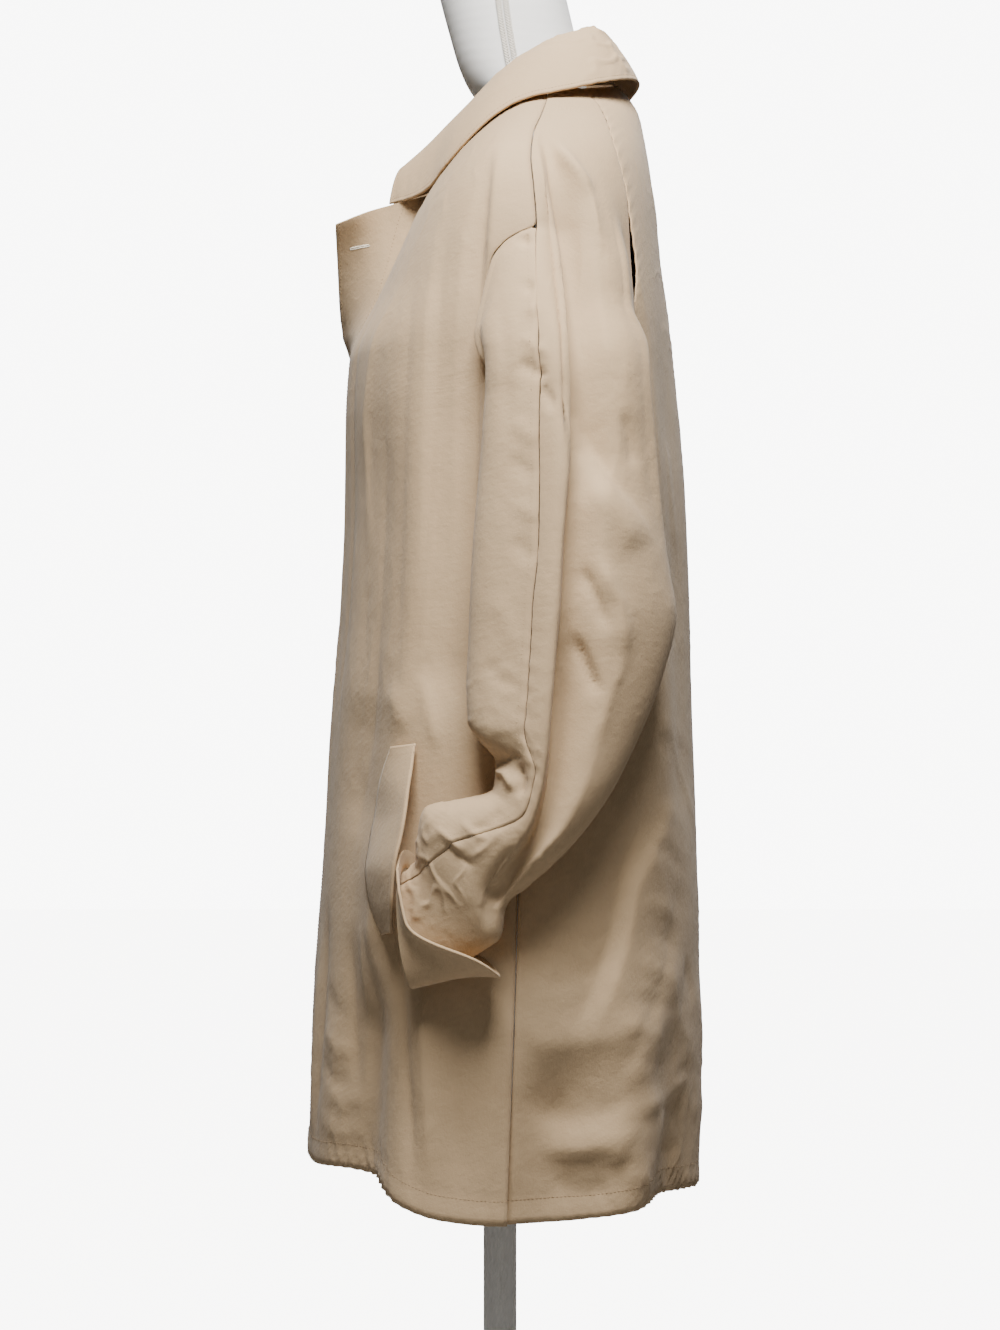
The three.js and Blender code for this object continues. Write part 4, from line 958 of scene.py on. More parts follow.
# Fronts
# Two panels that meet at the shoulder seam, with a fly placket: the left one laps over the right and its free
# corner falls open above the chest. The cloth hangs from the shoulder in long soft folds.
EDGE_PAST_CENTRE = 28
UNDERLAP_INSET = 2.6
CHEST_LEVEL = 1040
YOKE_LEVEL = 1130
SHOULDER_POINT = 1183
NECK_POINT = 1320
BREAK_HEIGHT = 1085
BREAK_RUN = 40
NECK_CORNER = 1218
PLACKET_TOP = 1237
PLACKET_BACK = 45
EDGE_STITCH = 4.5
PLACKET_STITCH = 62
NECK_BEND = 0.8
FRONT_TUCK = 5
FRONT_GRID_ROWS, PLACKET_COLUMNS, CHEST_COLUMNS = 211, 19, 101
# Fractional rows and columns of the left front's grid that the top buttonhole spans
BUTTONHOLE_ROW = 192.6
BUTTONHOLE_COLUMNS = (3.9, 9.0)
BUTTONHOLE_HALF = 0.42
BUTTONHOLE_FALL = 0.85
BUTTONHOLE_CREAM = "#f2ead8"

# Line of each front's free edge where it stands away from the chest
EDGES = {
    "left": table(("z", "x", "y"), (1085, -28, -131), (1120, -20, -134), (1154, -3, -136), (1218, 26, -135)),
    "right": table(("z", "x", "y"), (1085, -28, -124), (1120, -16, -119), (1154, 0, -114), (1218, 28, -107)),
}

# Neck seam of a front, from the placket's back edge to the shoulder seam
NECKLINE = table(
    ("z", "turn"),
    (1237, 0.0525),
    (1262, 0.064),
    (1285, 0.11),
    (1305, 0.19),
    (1314, 0.3),
    (1320, 0.5),
)
neck_turn = through(NECKLINE["z"], NECKLINE["turn"])

# Front armhole seam, from the armpit to the shoulder point
ARMHOLE = table(
    ("at", "z", "turn"),
    (0, 1062, 0.5),
    (0.16, 1073, 0.458),
    (0.33, 1098, 0.43),
    (0.5, 1128, 0.421),
    (0.7, 1156, 0.427),
    (0.85, 1172, 0.452),
    (0.93, 1179, 0.478),
    (1, 1183, 0.5),
)
armhole = {name: through(ARMHOLE["at"], ARMHOLE[name]) for name in ("z", "turn")}


def shoulder_rise(at):
    """How far a row of the shoulder has risen to the neck."""
    return 1 - (1 - at) ** 1.6


def turn_for(x, z):
    """The turn at which the plain section has a given x, near the centre front."""
    return np.arcsin((np.abs(x) / body["half"](z)) ** (SQUARE / 2)) / np.pi * np.sign(x)


def placket_turn(z):
    """The turn at which the placket ends and the chest begins."""
    return turn_for(PLACKET_BACK, z)


def placket_point(side, share, z):
    """A point of the placket, from the free edge (0) to the chest (1): on the body below the break, and on a
    straight line from the standing edge to the chest above it. The right one lies further in."""
    share, z = np.broadcast_arrays(share, z)
    edge = EDGES[side]
    inset = (UNDERLAP_INSET if side == "right" else 0) * (1 - smooth(share, 0.78, 1))
    on_body = body_point(turn_for(lerp(-EDGE_PAST_CENTRE, PLACKET_BACK, share), z), z)
    on_body = on_body + inset[..., None] * np.array((0, 1, 0))
    free = np.stack((through(edge["z"], edge["x"])(z), through(edge["z"], edge["y"])(z), z), axis=-1)
    joined = body_point(placket_turn(z), z)
    standing = lerp(free, joined, share[..., None])
    return lerp(on_body, standing, smooth(z, BREAK_HEIGHT, BREAK_HEIGHT + BREAK_RUN)[..., None])


def by_part(row, skirt, arm, top):
    """The value for a row: the skirt's, then the one beside the armhole, then the shoulder's."""
    return np.where(row <= SKIRT_ROWS, skirt, np.where(row <= SKIRT_ROWS + ARM_ROWS, arm, top))


def front_place(row, u):
    """Turn and height on a front by row from the hem up, and u from the placket (0) to its side (1)."""
    row, u = np.broadcast_arrays(row, u)
    low = hem_height(lerp(placket_turn(HEM["z"][0]), 0.5, u))
    skirt_z = lerp(low, lerp(CHEST_LEVEL, ARMPIT, u), row / SKIRT_ROWS)
    skirt_turn = lerp(placket_turn(skirt_z), 0.5, u)
    at = np.clip((row - SKIRT_ROWS) / ARM_ROWS, 0, 1)
    arm_z = lerp(lerp(CHEST_LEVEL, YOKE_LEVEL, at), armhole["z"](at), u)
    arm_turn = lerp(placket_turn(arm_z), armhole["turn"](at), u)
    rise = shoulder_rise(np.clip((row - SKIRT_ROWS - ARM_ROWS) / SHOULDER_ROWS, 0, 1))
    neck = lerp(PLACKET_TOP, NECK_POINT, u**NECK_BEND)
    top_z = lerp(lerp(YOKE_LEVEL, SHOULDER_POINT, u), neck, rise)
    top_turn = lerp(lerp(placket_turn(top_z), 0.5, u), neck_turn(neck), rise)
    return by_part(row, skirt_turn, arm_turn, top_turn), by_part(row, skirt_z, arm_z, top_z)


def edge_height(row):
    """Height of a front's free edge for a row."""
    yoke_row = SKIRT_ROWS + ARM_ROWS
    rows = (0, SKIRT_ROWS, yoke_row, yoke_row + SHOULDER_ROWS)
    return np.interp(row, rows, (HEM["z"][0], CHEST_LEVEL, YOKE_LEVEL, NECK_CORNER))


def front_grid(side, rows, shares, us):
    """The whole front: the placket's columns, then the chest's."""
    _, start_z = front_place(rows, 0.0)
    placket = placket_point(side, shares, lerp(edge_height(rows), start_z, shares))
    return np.concatenate((placket, body_point(*front_place(rows, us))), axis=1)


# Creases of a front, seen from the wearer's left: the sharp drape from the shoulder's end down beside the
# sleeve, soft upright folds below the chest, a pressed crease, and flutes above the hem
FRONT_CREASES = (
    (((-190, 1206), (-140, 1219), (-94, 1230)), 30, 44, 12),
    (((2, 1258), (-10, 1214), (-17, 1150), (-20, 1060), (-23, 960), (-25, 860)), 9, 18, -7),
    (((-1, 1262), (-4, 1225), (-8, 1180), (-11, 1140)), 16, 4, 3.5),
    (((-10, 1250), (-28, 1180), (-34, 1090), (-36, 980), (-38, 880)), 12, 10, 2.1),
    (((-34, 1230), (-46, 1150), (-50, 1040), (-54, 900)), 11, 13, -1.7),
    (((-46, 1222), (-57, 1120), (-60, 1000), (-64, 860)), 10, 9, 1.3),
    (((-47, 1050), (-52, 960), (-60, 860), (-64, 820)), 2, 2, 0.9),
    (((-66, 1180), (-76, 1040), (-80, 900), (-82, 800)), 11, 14, -2.4),
    (((-86, 1120), (-92, 980), (-97, 820)), 10, 12, 1.8),
    (((-102, 1060), (-106, 940), (-108, 820)), 9, 12, -1.7),
    (((-104, 826), (-112, 776), (-116, 706)), 24, 26, -3.5),
    (((-86, 830), (-78, 806), (-68, 796)), 14, 10, 2.8),
    (((-60, 840), (-52, 800), (-46, 780)), 8, 10, 2.8),
    (((-96, 740), (-100, 690), (-96, 650), (-84, 620)), 6, 8, 2.1),
    (((-102, 660), (-98, 600), (-92, 560)), 10, 15, 4.9),
    (((-80, 660), (-76, 590), (-72, 510), (-68, 440)), 12, 14, -5.6),
    (((-60, 620), (-57, 530), (-54, 440)), 13, 10, 3.5),
    (((-118, 640), (-116, 570), (-112, 500)), 12, 12, -3.5),
    (((-144, 556), (-130, 540), (-112, 544)), 6, 5, 2.4),
    (((-148, 532), (-132, 516), (-114, 520)), 5, 7, -2.4),
    (((-142, 510), (-126, 498), (-106, 506)), 6, 4, 2.1),
    (((-140, 590), (-132, 570), (-116, 566)), 5, 7, -1.8),
    (((-146, 486), (-128, 474), (-104, 480)), 7, 5, 2),
    (((-30, 600), (-34, 520), (-30, 440)), 16, 14, -2.1),
    (((-8, 620), (-6, 520), (-8, 430)), 12, 12, 1.7),
)
# Upright folds of a front's face, seen from the front
FRONT_FACE_CREASES = (
    (((110, 1190), (100, 1060), (104, 900), (98, 760)), 16, 13, -3),
    (((150, 1170), (142, 1040), (150, 900)), 14, 16, 2.6),
    (((70, 1100), (66, 960), (72, 800), (68, 640)), 12, 14, 2.2),
    (((190, 1120), (184, 980), (192, 820), (186, 700)), 15, 13, -2.6),
    (((96, 640), (104, 540), (100, 440)), 16, 18, 4),
    (((150, 660), (156, 560), (150, 450)), 18, 15, -4),
    (((60, 560), (56, 500), (60, 445)), 14, 12, -2.6),
    (((200, 640), (206, 540), (200, 440)), 15, 16, 3),
)

front_rows = np.linspace(0, SKIRT_ROWS + ARM_ROWS + SHOULDER_ROWS, FRONT_GRID_ROWS)[:, None]
front_shares = np.linspace(0, 1, PLACKET_COLUMNS)[None, :]
front_us = np.linspace(0, 1, CHEST_COLUMNS)[None, 1:]


def edge_line(grid, away, distance):
    """The same as a stitch line, for a distance from the grid's left rim."""
    fields = (grid.transpose(1, 0, 2), grid_normals(grid).transpose(1, 0, 2))
    return tuple(line_at(field, away.T, distance) for field in fields)


def between(grid, row, column):
    """A grid's value at fractional rows and columns, as the mean of its four neighbours by nearness."""
    i, j = np.floor(row).astype(int), np.floor(column).astype(int)
    r, c = (row - i)[:, None], (column - j)[:, None]
    return lerp(lerp(grid[i, j], grid[i, j + 1], c), lerp(grid[i + 1, j], grid[i + 1, j + 1], c), r)


def buttonhole(grid):
    """The top buttonhole: close cream stitches square to a long flat loop round its slit."""
    turn = np.linspace(0, 2 * np.pi, 80)
    first, last = BUTTONHOLE_COLUMNS
    column = (first + last) / 2 + (last - first) / 2 * powered(np.cos(turn), 0.35)
    middle = BUTTONHOLE_ROW - BUTTONHOLE_FALL * (column - first)
    row = middle + BUTTONHOLE_HALF * powered(np.sin(turn), 0.5)
    path, out = between(grid, row, column), between(grid_normals(grid), row, column)
    sewn("top_buttonhole", [(path, out)], 0.6, 1.7, 0.34, square=True, thread=cream_thread)


cream_thread, _, _ = finish_of(
    "cream silk thread", Base_Color=linear(BUTTONHOLE_CREAM), Roughness=0.45, Sheen_Weight=0.3
)


def worn(grid, side):
    """A grid's places on its own side of the wearer, since both sides are drawn on the left."""
    return grid * (-1, 1, 1) if side == "right" else grid


def front_panel(side, seed):
    """A front with its own creases: puckers at the hem and shoulder, and stitching along the placket."""
    grid = front_grid(side, front_rows, front_shares, front_us)
    placed = worn(grid, side)
    far = rims(grid)
    shoulder_row = SKIRT_ROWS + ARM_ROWS
    on_shoulder = smooth(front_rows, shoulder_row - 0.2, shoulder_row + 0.8)
    hidden = None if side == "left" else seed
    lift = (
        creased(grid, FRONT_CREASES, seed=hidden)
        + creased(grid, FRONT_FACE_CREASES, 0, (0, -1), seed)
        + 0.5 * crumple(placed, 70, seed)
        + 0.3 * crumple(placed, 26, seed + 2)
        + 0.6 * waves(placed, 140, seed + 3)
        + hem_lift(far, seed + 5)
        - hem_tuck(grid, grid[..., 2], FRONT_TUCK)
        + on_shoulder * puckers(far["right"], far["foot"], seed + 7, 11, 0.9, 14)
        + seam_groove(far["right"])
        - 0.35 * np.exp(-(((far["left"] - EDGE_STITCH) / 1.6) ** 2))
    )
    outer = lifted(grid, lift)
    made = shell("front_" + side, outer, cotton, mirror=side == "right")
    lines = [stitch_line(outer, far["foot"], HEM_DEPTH)]
    lines += [edge_line(outer, far["left"], away) for away in (EDGE_STITCH, PLACKET_STITCH)]
    sewn("front_stitches_" + side, lines, mirror=side == "right")
    if side == "left":
        buttonhole(outer)


for side, seed in (("right", 51), ("left", 31)):
    front_panel(side, seed)

# Sleeves
# Each is cut in two: the front half is set into the armhole, and the back half runs over the shoulder to the
# collar as a raglan. They join along an overarm seam and an underarm one. A deep fold hangs behind the first.
RIM_OFF = 2
SEAM_STITCH = 6.5
UNDERARM = -np.pi / 2
CAP_ROWS = ARM_ROWS + 1
# The front half starts a little below the shoulder point, where its two seams would meet in a spike
TIP = 0.15
# Angles in degrees that the cap's upper rows reach behind and in front
CAP_REACH_BACK, CAP_REACH_FRONT = 190, -25
# The back half's columns crowd towards the overarm seam by this power
BACK_CROWD = 1.45
# The cap stands out over the dip below the shoulder: its height, how far up and down it goes, and by how much
CAP_LEVEL, CAP_SPAN, CAP_SWELL = 1162, 40, 9
CAP_ROUNDING = 8
SEWN_REACH = 40
# The cap behind stays this far off the body's side near the armpit
ARMPIT_CLEAR = 4
SHOULDER_STEPS, CAP_STEPS, SLEEVE_STEPS = 46, 44, 170
FRONT_HALF_COLUMNS, BACK_HALF_COLUMNS = 41, 111
SLEEVE_FRONT_CUT = (0.15, 0.62, 0.66)
SLEEVE_BACK_CUT = (0.28, 0.86, 0.54)

# Sleeve sections in order, as seen from the wearer's side: the front and back ends of each, how far along it
# the overarm seam lies, the middle's distance off the body, and the cloth's reach outwards and inwards from
# the middle
SLEEVE_NAMES = ("frontY", "frontZ", "backY", "backZ", "seam", "middle", "out", "inn")
SLEEVE = table(
    SLEEVE_NAMES,
    (-7, 1050, 97, 1050, 0.34, 20, 32, 9),
    (-12, 984, 101, 982, 0.35, 22, 34, 15),
    (-15, 924, 108, 908, 0.33, 24, 35, 17),
    (-17, 880, 111, 880, 0.31, 25, 35, 18),
    (-19, 834, 100, 832, 0.33, 25, 36, 18),
    (-18, 800, 85, 784, 0.35, 25, 36, 18),
    (-1, 770, 66, 739, 0.36, 25, 35, 18),
    (-3, 750, 44, 703, 0.42, 25, 33, 18),
    (-27, 742, 18, 676, 0.4, 24, 31, 17),
    (-44, 736, 5, 662, 0.4, 24, 28, 15),
    (-49, 714, 3, 640, 0.26, 24, 24, 12),
    (-50, 698, -12, 627, 0.16, 23, 19, 10),
    (-60, 686, -54, 602, 0.12, 20, 14, 8),
)

# The deep fold behind the overarm seam, from its tip on the shoulder down to the cuff: how far back its edge
# lies, how high the roll before the edge stands, and how deep and how wide the hollow behind it is
DEEP_FOLD = table(
    ("z", "y", "roll", "depth", "width"),
    (1262, 28, 0, 0, 8),
    (1240, 34, 0.5, 6, 22),
    (1184, 44, 1.5, 10, 40),
    (1119, 51, 6, 12, 50),
    (1062, 53, 9, 12, 50),
    (1009, 53, 10, 13, 44),
    (955, 50, 10, 13, 30),
    (894, 46, 10, 16, 34),
    (819, 40, 9, 23, 42),
    (766, 35, 7, 20, 34),
    (728, 26, 5, 14, 26),
    (698, 8, 3, 9, 18),
    (664, -14, 0, 4, 14),
)

# Smaller creases of a sleeve, drawn the same way as the back's
SLEEVE_CREASES = (
    (
        ((34, 1245), (48, 1160), (55, 1090), (57, 1034), (67, 1010), (84, 992), (106, 968), (130, 932)),
        64,
        12,
        -14,
    ),
    (((36, 1262), (56, 1236), (72, 1206), (82, 1160)), 8, 12, 4),
    (((64, 985), (86, 960), (106, 930)), 24, 22, 4),
    (((72, 1180), (80, 1120), (86, 1060)), 16, 14, 2.5),
    (((44, 1250), (58, 1232), (76, 1214)), 5, 9, 3.5),
    (((96, 1040), (104, 1018), (108, 992)), 6, 9, -3),
    (((60, 922), (72, 896), (82, 868)), 5, 9, -4),
    (((54, 870), (64, 846), (76, 820)), 5, 10, -5),
    (((70, 930), (88, 892), (92, 850)), 10, 8, 4),
    (((98, 900), (92, 850), (74, 800), (56, 764)), 11, 16, 2.5),
    (((20, 1176), (18, 1166)), 6, 6, -3.4),
    (((24, 1138), (20, 1126)), 5, 6, -2.4),
    (((26, 1120), (24, 1108)), 4, 5, 2.4),
    (((14, 1076), (24, 1066), (36, 1060)), 7, 8, -4),
    (((28, 1054), (36, 1046), (40, 1036)), 5, 5, -3),
    (((16, 1096), (28, 1082), (38, 1084)), 6, 6, 2.4),
    (((10, 1030), (20, 1018), (30, 1014)), 5, 5, 2.4),
    (((6, 1000), (18, 992), (26, 982)), 5, 6, -2.2),
    (((12, 968), (22, 958), (30, 956)), 5, 5, 2.2),
    (((8, 940), (18, 930), (24, 920)), 6, 5, -2),
    (((-2, 1130), (4, 1080), (6, 1010)), 8, 9, -1.6),
    (((-6, 900), (4, 880), (12, 850)), 8, 8, 1.6),
    (((-10, 850), (0, 834), (10, 826)), 7, 7, -1.6),
    (((-20, 786), (0, 800), (20, 806)), 30, 16, 2),
    (((-8, 768), (4, 774), (18, 778)), 8, 8, -3.5),
    (((-8, 768), (4, 764), (12, 750)), 4, 4, 4.5),
    (((12, 774), (16, 760), (14, 746)), 5, 4, -5),
    (((-50, 724), (-38, 716), (-26, 704)), 5, 5, 2.4),
    (((-30, 730), (-20, 720), (-8, 714)), 5, 5, 2.2),
    (((-42, 712), (-30, 702), (-18, 694)), 4, 6, -2.2),
    (((2, 740), (-10, 726), (-26, 722)), 6, 5, -2.6),
    (((4, 726), (-10, 710), (-24, 700)), 6, 6, 2.2),
    (((10, 712), (-2, 690), (-12, 664)), 6, 8, -4),
)
LAST_STATION = len(SLEEVE["frontY"]) - 1
sleeve = {name: through(np.arange(LAST_STATION + 1.0), SLEEVE[name]) for name in SLEEVE_NAMES}


def off_body(y, z, off):
    """A point that lies off the left side's cloth by a distance, at a distance back and a height."""
    middle = body["side"](z)
    depth = np.where(y < middle, body["front"](z), body["back"](z)) - middle
    angle = np.arccos(np.clip((y - middle) / depth, 0, 1) ** (SQUARE / 2)) / np.pi
    turn = np.where(y < middle, angle, 1 - angle)
    return body_point(turn, z) + loop_normal(turn, z) * np.asarray(off)[..., None]


def sleeve_point(station, angle, extra=0.0, droop=0.0):
    """A flattened ring laid on the body's side: the cosine of the angle carries the point from the ring's
    front end to its back end, and the sine outwards."""
    station, angle, extra, droop = np.broadcast_arrays(station, angle, extra, droop)
    row = {name: sleeve[name](station) for name in SLEEVE_NAMES}
    share = (1 - np.cos(angle)) / 2
    span_y, span_z = row["backY"] - row["frontY"], row["backZ"] - row["frontZ"]
    long = np.hypot(span_y, span_z)
    stretch = (share - 0.5) * (1 + 2 * extra / long) + 0.5 + share * droop / long
    reach = np.where(np.sin(angle) > 0, row["out"], row["inn"])
    off = row["middle"] + (reach + extra) * np.sin(angle)
    return off_body(row["frontY"] + span_y * stretch, row["frontZ"] + span_z * stretch, off)


def seam_angle(station):
    """Angle of the overarm seam on a section."""
    return np.arccos(1 - 2 * sleeve["seam"](station))


def underarm(behind):
    """Angle of the underarm seam on a section: the front half falls to it, the back half rises to it."""
    return UNDERARM + 2 * np.pi if behind else UNDERARM


def crowded(share, behind):
    """Share of the way round a half's section, with the back half's points crowded to the overarm seam."""
    return share**BACK_CROWD if behind else share


def bezier(points, t):
    """A cubic curve from the first of four points to the last, drawn towards the two between them."""
    a, b, c, d = points
    t = t[..., None]
    return (1 - t) ** 3 * a + 3 * t * (1 - t) ** 2 * b + 3 * t**2 * (1 - t) * c + t**3 * d


shoulder_place = body_point(0.5, float(SHOULDER_POINT))


def cap_seam(share):
    """The overarm seam from the shoulder point to the first full section."""
    end = sleeve_point(0.0, seam_angle(0.0))
    return bezier((shoulder_place, shoulder_place + (17, -3, -26), end + (0, 0, 52), end), share)


def raglan_below(share):
    """Turn and height on the raglan seam, from the top of the cap to the armpit."""
    at = lerp(RAGLAN_CAP, 1, share)
    return raglan["turn"](at), raglan["z"](at)


def armhole_below(share):
    """Turn and height on the armhole, from the shoulder point to the armpit."""
    return armhole["turn"](1 - share), armhole["z"](1 - share)


def border_above(behind, share):
    """The cap's upper border: over the body to the raglan seam behind, the shoulder point in front."""
    if not behind:
        return np.broadcast_to(shoulder_place, (*share.shape, 3))
    turn, z = raglan_below(0.0)
    return body_point(lerp(0.5, turn, share), lerp(SHOULDER_POINT, z, share))


def rim_of_sleeve(turn, z, to_armpit):
    """Where the sleeve meets the body: on the seam at the shoulder, just off the cloth at the armpit."""
    return body_point(turn, z) + loop_normal(turn, z) * (RIM_OFF * smooth(to_armpit, 0.05, 0.5))[..., None]


def under_border(seam, v):
    """A sleeve's border along the body, then straight from the armpit to the first full section."""
    split = ARM_ROWS / CAP_ROWS
    along = np.clip(v / split, 0, 1)
    turn, z = seam(along)
    down = np.clip((v - split) / (1 - split), 0, 1)[..., None]
    return lerp(rim_of_sleeve(turn, z, along), sleeve_point(0.0, UNDERARM), down)


def cap_patch(behind, u, v):
    """The sleeve's cap. Its upper rows are straight lines from the overarm seam to the body, bowed by the
    seam above it at the top and by the first full section at the foot. Its lower rows keep that section's
    shape, and only their ends are brought to the borders."""
    stop = np.radians(CAP_REACH_BACK if behind else CAP_REACH_FRONT)
    u, v = np.broadcast_arrays(u, v)
    reach = lerp(stop, underarm(behind), smooth(v, 0.3, 0.8))
    start = seam_angle(0.0)

    def above(share):
        return border_above(behind, share)

    def foot(share):
        return sleeve_point(0.0, lerp(start, reach, crowded(share, behind)))

    def bow(curve):
        return curve(u) - lerp(curve(0 * u), curve(0 * u + 1), u[..., None])

    left, right = cap_seam(v), under_border(raglan_below if behind else armhole_below, v)
    line = lerp(left, right, u[..., None]) + bow(above) * (1 - v[..., None]) + bow(foot) * v[..., None]
    inner = smooth(u, 0.5, 1)[..., None]
    shifted = foot(u) + (left - foot(0 * u)) * (1 - inner) + (right - foot(0 * u + 1)) * inner
    return lerp(line, shifted, smooth(v, 0.45, 0.9)[..., None])


def deep_fold(grid):
    """How far the deep fold moves a sleeve's outer face: a roll before its edge line, a steep fall at the
    edge, and a hollow behind that rises slowly."""
    y, z = grid[..., 1], grid[..., 2]
    inside = np.clip(z, DEEP_FOLD["z"][-1], DEEP_FOLD["z"][0])
    row = {name: through(DEEP_FOLD["z"], DEEP_FOLD[name])(inside) for name in ("y", "roll", "depth", "width")}
    away = y - row["y"]
    roll = row["roll"] * np.exp(-(((away + 8) / 13) ** 2)) * (1 - smooth(away, -4, 3))
    hollow = row["depth"] * smooth(away, -3, 4) * (1 - smooth(away, 7, row["width"]))
    outer = smooth(grid_normals(grid)[..., 0], 0, 0.4)
    return outer * smooth(z, 640, 668) * (roll - hollow)


def shoulder_strip(u):
    """The back half's rows over the shoulder, from the neck down, which end at the raglan seam behind."""
    s = np.linspace(0, 1, SHOULDER_STEPS)[:-1, None]
    seam = raglan_share(s * SHOULDER_ROWS)
    z = lerp(SHOULDER_POINT, NECK_POINT, shoulder_rise(1 - s))
    return body_point(lerp(0.5, raglan["turn"](seam), u), lerp(z, raglan["z"](seam), u))


def cap_behind(u, v):
    """The back half's cap, kept clear of the body's side over its lower rows."""
    cap = cap_patch(True, u, v)
    under = off_body(cap[..., 1], cap[..., 2], 0.0)
    least = under[..., 0] + ARMPIT_CLEAR * smooth(v, 0.5, 0.85)
    cap[..., 0] = np.where((v > 0.5) & (u < 1), np.maximum(cap[..., 0], least), cap[..., 0])
    return cap


def sleeve_rows(behind, columns):
    """A half sleeve from the top down: over the shoulder (behind only), the cap, then the full sections."""
    u = np.linspace(0, 1, columns)[None, :]
    v = np.linspace(0 if behind else TIP / CAP_ROWS, 1, CAP_STEPS)[:-1, None]
    rows = [shoulder_strip(u), cap_behind(u, v)] if behind else [cap_patch(False, u, v)]
    station = np.linspace(0, LAST_STATION, SLEEVE_STEPS)[:, None]
    angle = lerp(seam_angle(station), underarm(behind), crowded(u, behind))
    return np.concatenate((*rows, sleeve_point(station, angle)))


def folded(grid):
    """A sleeve's grid with its deep fold, which moves it square to the body under it."""
    y, z = grid[..., 1], grid[..., 2]
    return grid + (off_body(y, z, 1.0) - off_body(y, z, 0.0)) * deep_fold(grid)[..., None]


def evened(grid, reach):
    """A grid rounded along its rows: each point becomes the mean of its neighbours within reach."""
    kernel = np.hanning(2 * reach + 3)[1:-1]
    kernel /= kernel.sum()
    ends = (2 * grid[:, :1] - grid[:, reach:0:-1], grid, 2 * grid[:, -1:] - grid[:, -2 : -reach - 2 : -1])
    padded = np.concatenate(ends, axis=1)
    return sum(weight * padded[:, k : k + grid.shape[1]] for k, weight in enumerate(kernel))


def eased(grid):
    """The cap spans the dip below the shoulder instead of sinking into it, and its columns are rounded. Both
    fade out at the grid's two sides, where it is sewn."""
    far = rims(grid)
    inside = smooth(np.minimum(far["left"], far["right"]), 0, SEWN_REACH)[..., None]
    swell = CAP_SWELL * np.exp(-(((grid[..., 2] - CAP_LEVEL) / CAP_SPAN) ** 2))
    swell = swell * smooth(grid_normals(grid)[..., 0], 0, 0.4)
    spanned = lifted(grid, swell * inside[..., 0]).transpose(1, 0, 2)
    return lerp(grid, evened(spanned, CAP_ROUNDING).transpose(1, 0, 2), inside)


def sleeve_halves(side, seed):
    """Both halves of a sleeve, with puckers along the overarm seam and creases that gather at the elbow."""
    mirror = side == "right"
    front = folded(sleeve_rows(False, FRONT_HALF_COLUMNS)[::-1, ::-1])
    back = folded(eased(sleeve_rows(True, BACK_HALF_COLUMNS)[::-1]))
    for half, grid, seam_side, cut in (
        ("front", front, "right", SLEEVE_FRONT_CUT),
        ("back", back, "left", SLEEVE_BACK_CUT),
    ):
        far = rims(grid)
        placed = worn(grid, side)
        low = smooth(grid[..., 2], 860, 740)
        lift = (
            creased(grid, SLEEVE_CREASES, seed=seed if mirror else None)
            + (0.4 + 0.9 * low) * crumple(placed, 45, seed)
            + 0.3 * crumple(placed, 20, seed + 1)
            + 0.6 * waves(placed, 90, seed + 3)
            + puckers(far[seam_side], far["foot"], seed + 5, 13, 0.5 if half == "front" else 0.3, 11)
            + seam_groove(np.minimum(far["left"], far["right"]))
        )
        name = "sleeve_" + half + "_" + side
        outer = lifted(grid, lift)
        made = shell(name, outer, cotton, mirror=mirror)
        along = edge_line(outer[:, ::-1], far["right"][:, ::-1], SEAM_STITCH)
        sewn(name + "_stitches", [along], mirror=mirror)


for side, seed in (("left", 71), ("right", 91)):
    sleeve_halves(side, seed)

# Cuffs
# The sleeve's end is turned back on itself as a loose double band that stands off the sleeve.
TWO_PLY = 2
CUFF_ROWS, CUFF_COLUMNS = 34, 120
# From the end edge to the free rim: the sleeve station at its front and back, how far it stands off the
# sleeve and how far its back hangs down
CUFF_NAMES = ("front", "back", "off", "droop")
CUFF = table(CUFF_NAMES, (12, 12, 3.6, 0), (11.9, 11.6, 5.4, 2), (11.8, 11.25, 9, 5), (11.7, 10.9, 14, 9))


def cuff(side, seed):
    """A ring of the sleeve's own section, moved out by the table's distance and let down at its back."""
    steps = np.arange(float(len(CUFF["front"])))
    step = np.linspace(0, steps[-1], CUFF_ROWS)[:, None]
    share = np.linspace(0, 1, CUFF_COLUMNS, endpoint=False)[None, :]
    row = {name: through(steps, CUFF[name])(step) for name in CUFF_NAMES}
    station = lerp(row["front"], row["back"], smooth((1 - np.cos(2 * np.pi * share)) / 2, 0.45, 1))
    grid = sleeve_point(station, 2 * np.pi * share, row["off"], row["droop"])
    placed = worn(grid, side)
    lift = 0.7 * crumple(placed, 30, seed) + 0.5 * waves(placed, 40, seed + 2)
    outer = lifted(grid, lift, True)
    made = shell("cuff_" + side, outer, cotton, TWO_PLY, closed=True, mirror=side == "right")


for side, seed in (("left", 111), ("right", 121)):
    cuff(side, seed)

# Pocket welts
# A slanted double strip sewn to each front along its front edge. The sleeve's cuff is tucked behind it and
# holds it open.
WELT_OFF = 1.2
WELT_STITCHES = (2.4, 8.4)
WELT_ROWS, WELT_COLUMNS = 70, 15
WELT = table(
    ("step", "sewnY", "sewnZ", "freeY", "freeZ", "lift"),
    (0, -81, 782, -62, 785, 2),
    (1, -94, 745, -66, 755, 22),
    (2, -99, 712, -71, 722, 40),
    (3, -99, 688, -74, 698, 44),
    (4, -94, 660, -76, 670, 40),
    (5, -84, 636, -77, 641, 24),
)


